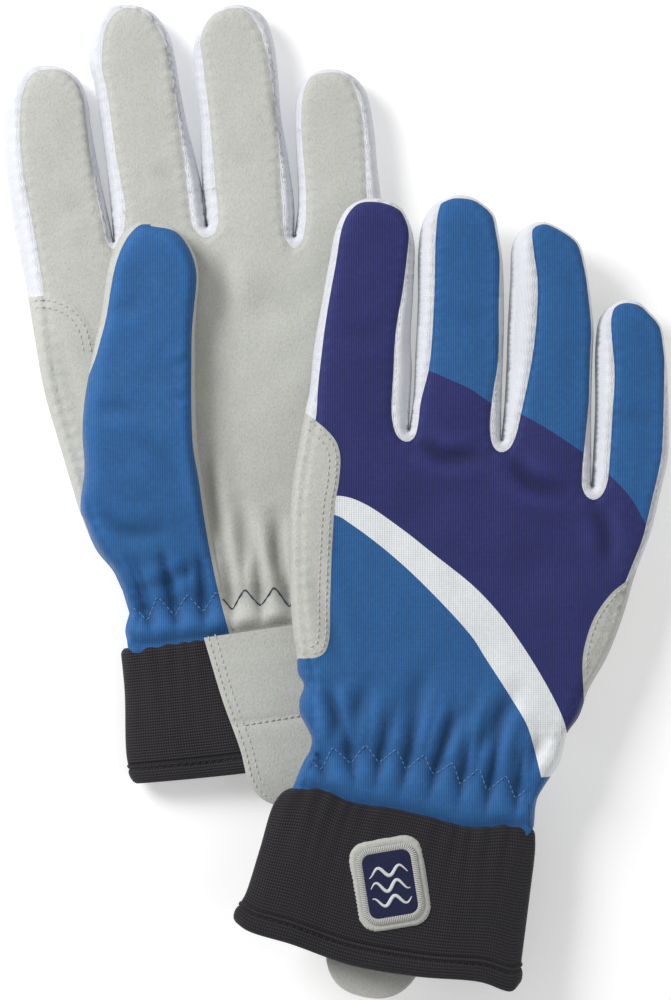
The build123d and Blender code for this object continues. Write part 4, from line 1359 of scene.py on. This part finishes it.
def zigzag_line(name, first, last, swing=3.7):
    """The zigzag over the wrist's elastic, in step with its gathers, between two places along it."""
    s = np.arange(first, last, 0.4)
    centre = along(ZIG[name], s / lengths(ZIG[name])[-1])
    swing = swing * (1 + 0.2 * noise(s, 0 * s, 9, 77))
    reach = swing * 2 / math.pi * np.arcsin(0.97 * np.cos(gather_phase(name, s)))
    return offset_line(centre, reach[:, None])


def threads(name, parts, material):
    """One piece of stitches or cords, which rides on the hand that its name begins with."""
    verts, faces = gather(parts)
    obj = make(name, verts, faces, material)
    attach(obj, f"{name.split('_')[0]}_hand")


def over_thumb(points):
    """The highest surface of the left glove at each point: its thumb base or its palm."""
    return np.where(inside(points, thumb_line), thumb_top(points), left_height(points))


def seam_rows(seam, distances, outline, margin):
    """Rows beside a seam, kept this far inside the glove's outline."""
    rows = [offset_line(seam, distance) for distance in distances]
    return [row[inside(row, outline) & (to_line(row, outline)[0] > margin)] for row in rows]


for name, seam, distances, outline, margin, height in (
    ("left_patch_stitching", PATCH_SEAM_LEFT[:6], (-1.3, -3.8), LEFT_LINE, 1.5, left_height),
    ("right_patch_stitching", PATCH_SEAM_RIGHT[:12], (-1.4, -3.9), RIGHT_LINE, 1.2, right_height),
    ("right_wrap_stitching", WRAP_RIGHT, (1.3,), RIGHT_LINE, 1.4, right_height),
):
    rows = seam_rows(smooth(seam), distances, outline, margin)
    threads(name, [part for row in rows for part in stitch_parts(row, height)], GREY_THREAD)

# The left zigzag is blue over the thumb's base, and dark beyond it, where it shows less.
left_long, right_long = lengths(ZIG["left"])[-1], lengths(ZIG["right"])[-1]
for name, line, height, fit, material, slot_name in (
    ("left_wrist_zigzag_blue", ("left", 2, 32.5), over_thumb, (1.9, 0.22, 0.4), BLUE_THREAD, "fabric_blue"),
    ("left_wrist_zigzag_grey", ("left", 32.5, left_long - 5), over_thumb, (3.0, 0.24, 0.0, 0.0),
     NAVY_THREAD, "fabric_navy"),
    ("right_wrist_zigzag", ("right", 1.5, right_long - 1.5, 3.4), right_height, (1.9, 0.22, 0.4),
     BLUE_THREAD, "fabric_blue"),
):
    threads(name, stitch_parts(zigzag_line(*line), height, *fit), material)


def sew_left_tab(around, tall, hinge):
    """Two rows round the left tab and one across it. Those past the hinge make a piece of their own."""
    base, ahead = hinge
    across = even(np.array([(-31.9, -78.0), (-5.0, -73.5)]), 1.0)
    fixed = stitch_parts(across, lambda points: np.full(len(points), tall[30] - 0.1), radius=0.2)
    free = []

    def height(points):
        return np.interp(to_line(points, around)[1], lengths(around), tall)

    rows = [even(offset_line(even(around, 0.8), inset), 0.8) for inset in (1.6, 4.0)]
    for stitch in [part for row in rows for part in stitch_parts(row, height, radius=0.2)]:
        past = (stitch[0].mean(0)[:2] - base) @ ahead > 0
        (free if past else fixed).append(stitch)
    threads("left_tab_stitching", fixed, GREY_THREAD)
    obj = make("left_tab_end_stitching", *gather(free), GREY_THREAD)
    bend(obj, "left", "tab_tip", base, ahead, TAB_HINGE_HEIGHT["left"], TAB_BEND)


sew_left_tab(*left_tab)
for cuff in cuffs:
    row = cuff.top(np.linspace(0.04, 0.96, 220), 1 - 0.76 * HEM / cuff.long, 0.2)
    flat = row[:, :2]

    def hem_height(points, row=row, flat=flat):
        return np.interp(to_line(points, flat)[1], lengths(flat), row[:, 2])

    parts = stitch_parts(flat, hem_height, pitch=2.4, radius=0.2)
    threads(f"{cuff.name}_hem_stitching", parts, BLACK_THREAD)


# ---- Badges ----

WOVEN = knit("badge_woven", rgb(28, 34, 74), period=0.42, contrast=0.6, sheen=0.3)


def rounded_box(width, height, radius, count=10):
    out = []
    for side, end, start in ((1, 1, 0), (-1, 1, 90), (-1, -1, 180), (1, -1, 270)):
        x, y = side * (width / 2 - radius), end * (height / 2 - radius)
        for a in np.radians(np.linspace(start, start + 90, count)):
            out.append((x + radius * math.cos(a), y + radius * math.sin(a)))
    return even(np.array([*out, out[0]]), 0.6)[:-1]


def badge(name, centre, turn, base, sign):
    """A suede badge with an overlocked rim and a plain woven face of three waves."""
    c, s = math.cos(math.radians(turn)), math.sin(math.radians(turn))
    spin = np.array([(c, s), (-s, c)])
    slope = math.tan(LEAN) if name == "right" else 0.0
    outline, face_line = rounded_box(25.5, 31.0, 6.5), rounded_box(18.6, 24.0, 4.0)
    points, faces = triangulate(outline, [looped(face_line)], 0.8)
    d, _ = to_line(points, looped(outline))
    d_face, _ = to_line(points, looped(face_line))
    within = inside(points, face_line)
    h = rounded(d, 0.9, 2.0) + 0.12 * noise(points[:, 0], points[:, 1], 4, 51)
    h += np.where(within, 0.45 * ease(d_face, 0, 0.5), 0) - 0.25 * bell(d_face, 0.4) * ~within

    def world(local, height):
        flat = local @ spin + centre
        sag = -0.0018 * (local[:, 0] ** 2)
        return np.column_stack([flat, base - slope * (flat[:, 0] - CENTRE_X) + sign * (height + sag)])

    verts = world(points, h)
    faces = faces[:, ::sign]
    normals = vertex_normals(verts, faces)
    on_face = inside(points[faces].mean(1), face_line)
    flow = np.column_stack([points, h])
    for part, pick, material, slot_name in (
        ("badge_backing", ~on_face, SUEDE, "suede_grey"), ("badge_face", on_face, WOVEN, "fabric_navy"),
    ):
        obj = make(f"{name}_{part}", verts, faces[pick], material, normals, flow)
        settle(obj, f"{name}_hand", slot_name, f"{name}_{part}")
    line = looped(face_line)
    at = along(line, np.linspace(0, 1, int(lengths(line)[-1] / 0.62), endpoint=False))
    out = offset_line(looped(at), 1.0)[:-1] - at
    lift = 1.25 + 0.42 * np.cos(np.linspace(-1.35, 1.35, 5))
    steps = np.linspace(-0.9, 1.0, 5)[:, None]
    rim = [tube(world(p - o * steps, lift), 0.3, 5) for p, o in zip(at, out)]
    threads(f"{name}_badge_rim", rim, GREY_THREAD)
    waves = []
    x = np.linspace(-6.6, 6.6, 45)
    thick = 0.62 * np.sin(np.linspace(0.25, math.pi - 0.25, 45))
    for y0, swing in ((4.4, 1.5), (-0.6, 1.7), (-5.6, 1.5)):
        y = y0 + swing * np.sin(x * 2 * math.pi / 7.2 + y0)
        waves.append(tube(world(np.column_stack([x, y]), np.full(45, 1.5)), thick, 8, 0.5))
    threads(f"{name}_badge_waves", waves, WHITE_THREAD)


badge("right", np.array([17.6, -130.9]), 9.0, RIGHT_MID + 5.2, 1)
badge("left", np.array([-27.8, -69.7]), -5.0, 2.05, -1)


# ---- Stage ----

def set_stage():
    """A white floor, an even white world, a key light from the upper left and a weak fill."""
    white = (1.0, 1.0, 1.0, 1.0)
    floor_graph = Graph("floor", roughness=0.9, specular=0.1)
    floor_graph.surface.inputs["Base Color"].default_value = rgb(240, 240, 240)
    floor_graph.surface.inputs["Emission Color"].default_value = white
    floor_graph.surface.inputs["Emission Strength"].default_value = 0.3
    size = 3000
    verts = np.array([(-size, -size, 0), (size, -size, 0), (size, size, 0), (-size, size, 0)], float)
    make("floor", verts, [(0, 1, 2, 3)], floor_graph.material)
    world = bpy.data.worlds.new("studio")
    world.use_nodes = True
    world.node_tree.nodes["Background"].inputs["Color"].default_value = white
    world.node_tree.nodes["Background"].inputs["Strength"].default_value = 0.38
    bpy.context.scene.world = world
    bpy.context.scene.view_settings.view_transform = "Standard"
    for name, where, power, width in (
        ("key", (-1.05, 0.75, 1.02), 22.5, 0.7),
        ("fill", (0.95, -0.3, 1.2), 2.5, 1.1),
    ):
        light = bpy.data.lights.new(name, "AREA")
        light.energy, light.size = power, width
        lamp = bpy.data.objects.new(name, light)
        lamp.location = where
        lamp.rotation_euler = (-Vector(where)).to_track_quat("-Z", "Y").to_euler()
        bpy.context.scene.collection.objects.link(lamp)


def set_camera():
    """Looks straight down, with the pair filling an upright frame about two wide and three high."""
    camera = bpy.data.cameras.new("camera")
    distance, tall = 1.6, 0.340
    camera.sensor_fit = "VERTICAL"
    camera.angle = 2 * math.atan(tall / 2 / distance)
    holder = bpy.data.objects.new("camera", camera)
    holder.location = (CENTRE_X * MM, CENTRE_Y * MM, distance + 0.018)
    bpy.context.scene.collection.objects.link(holder)
    bpy.context.scene.camera = holder


set_stage()
set_camera()
bpy.context.view_layer.update()
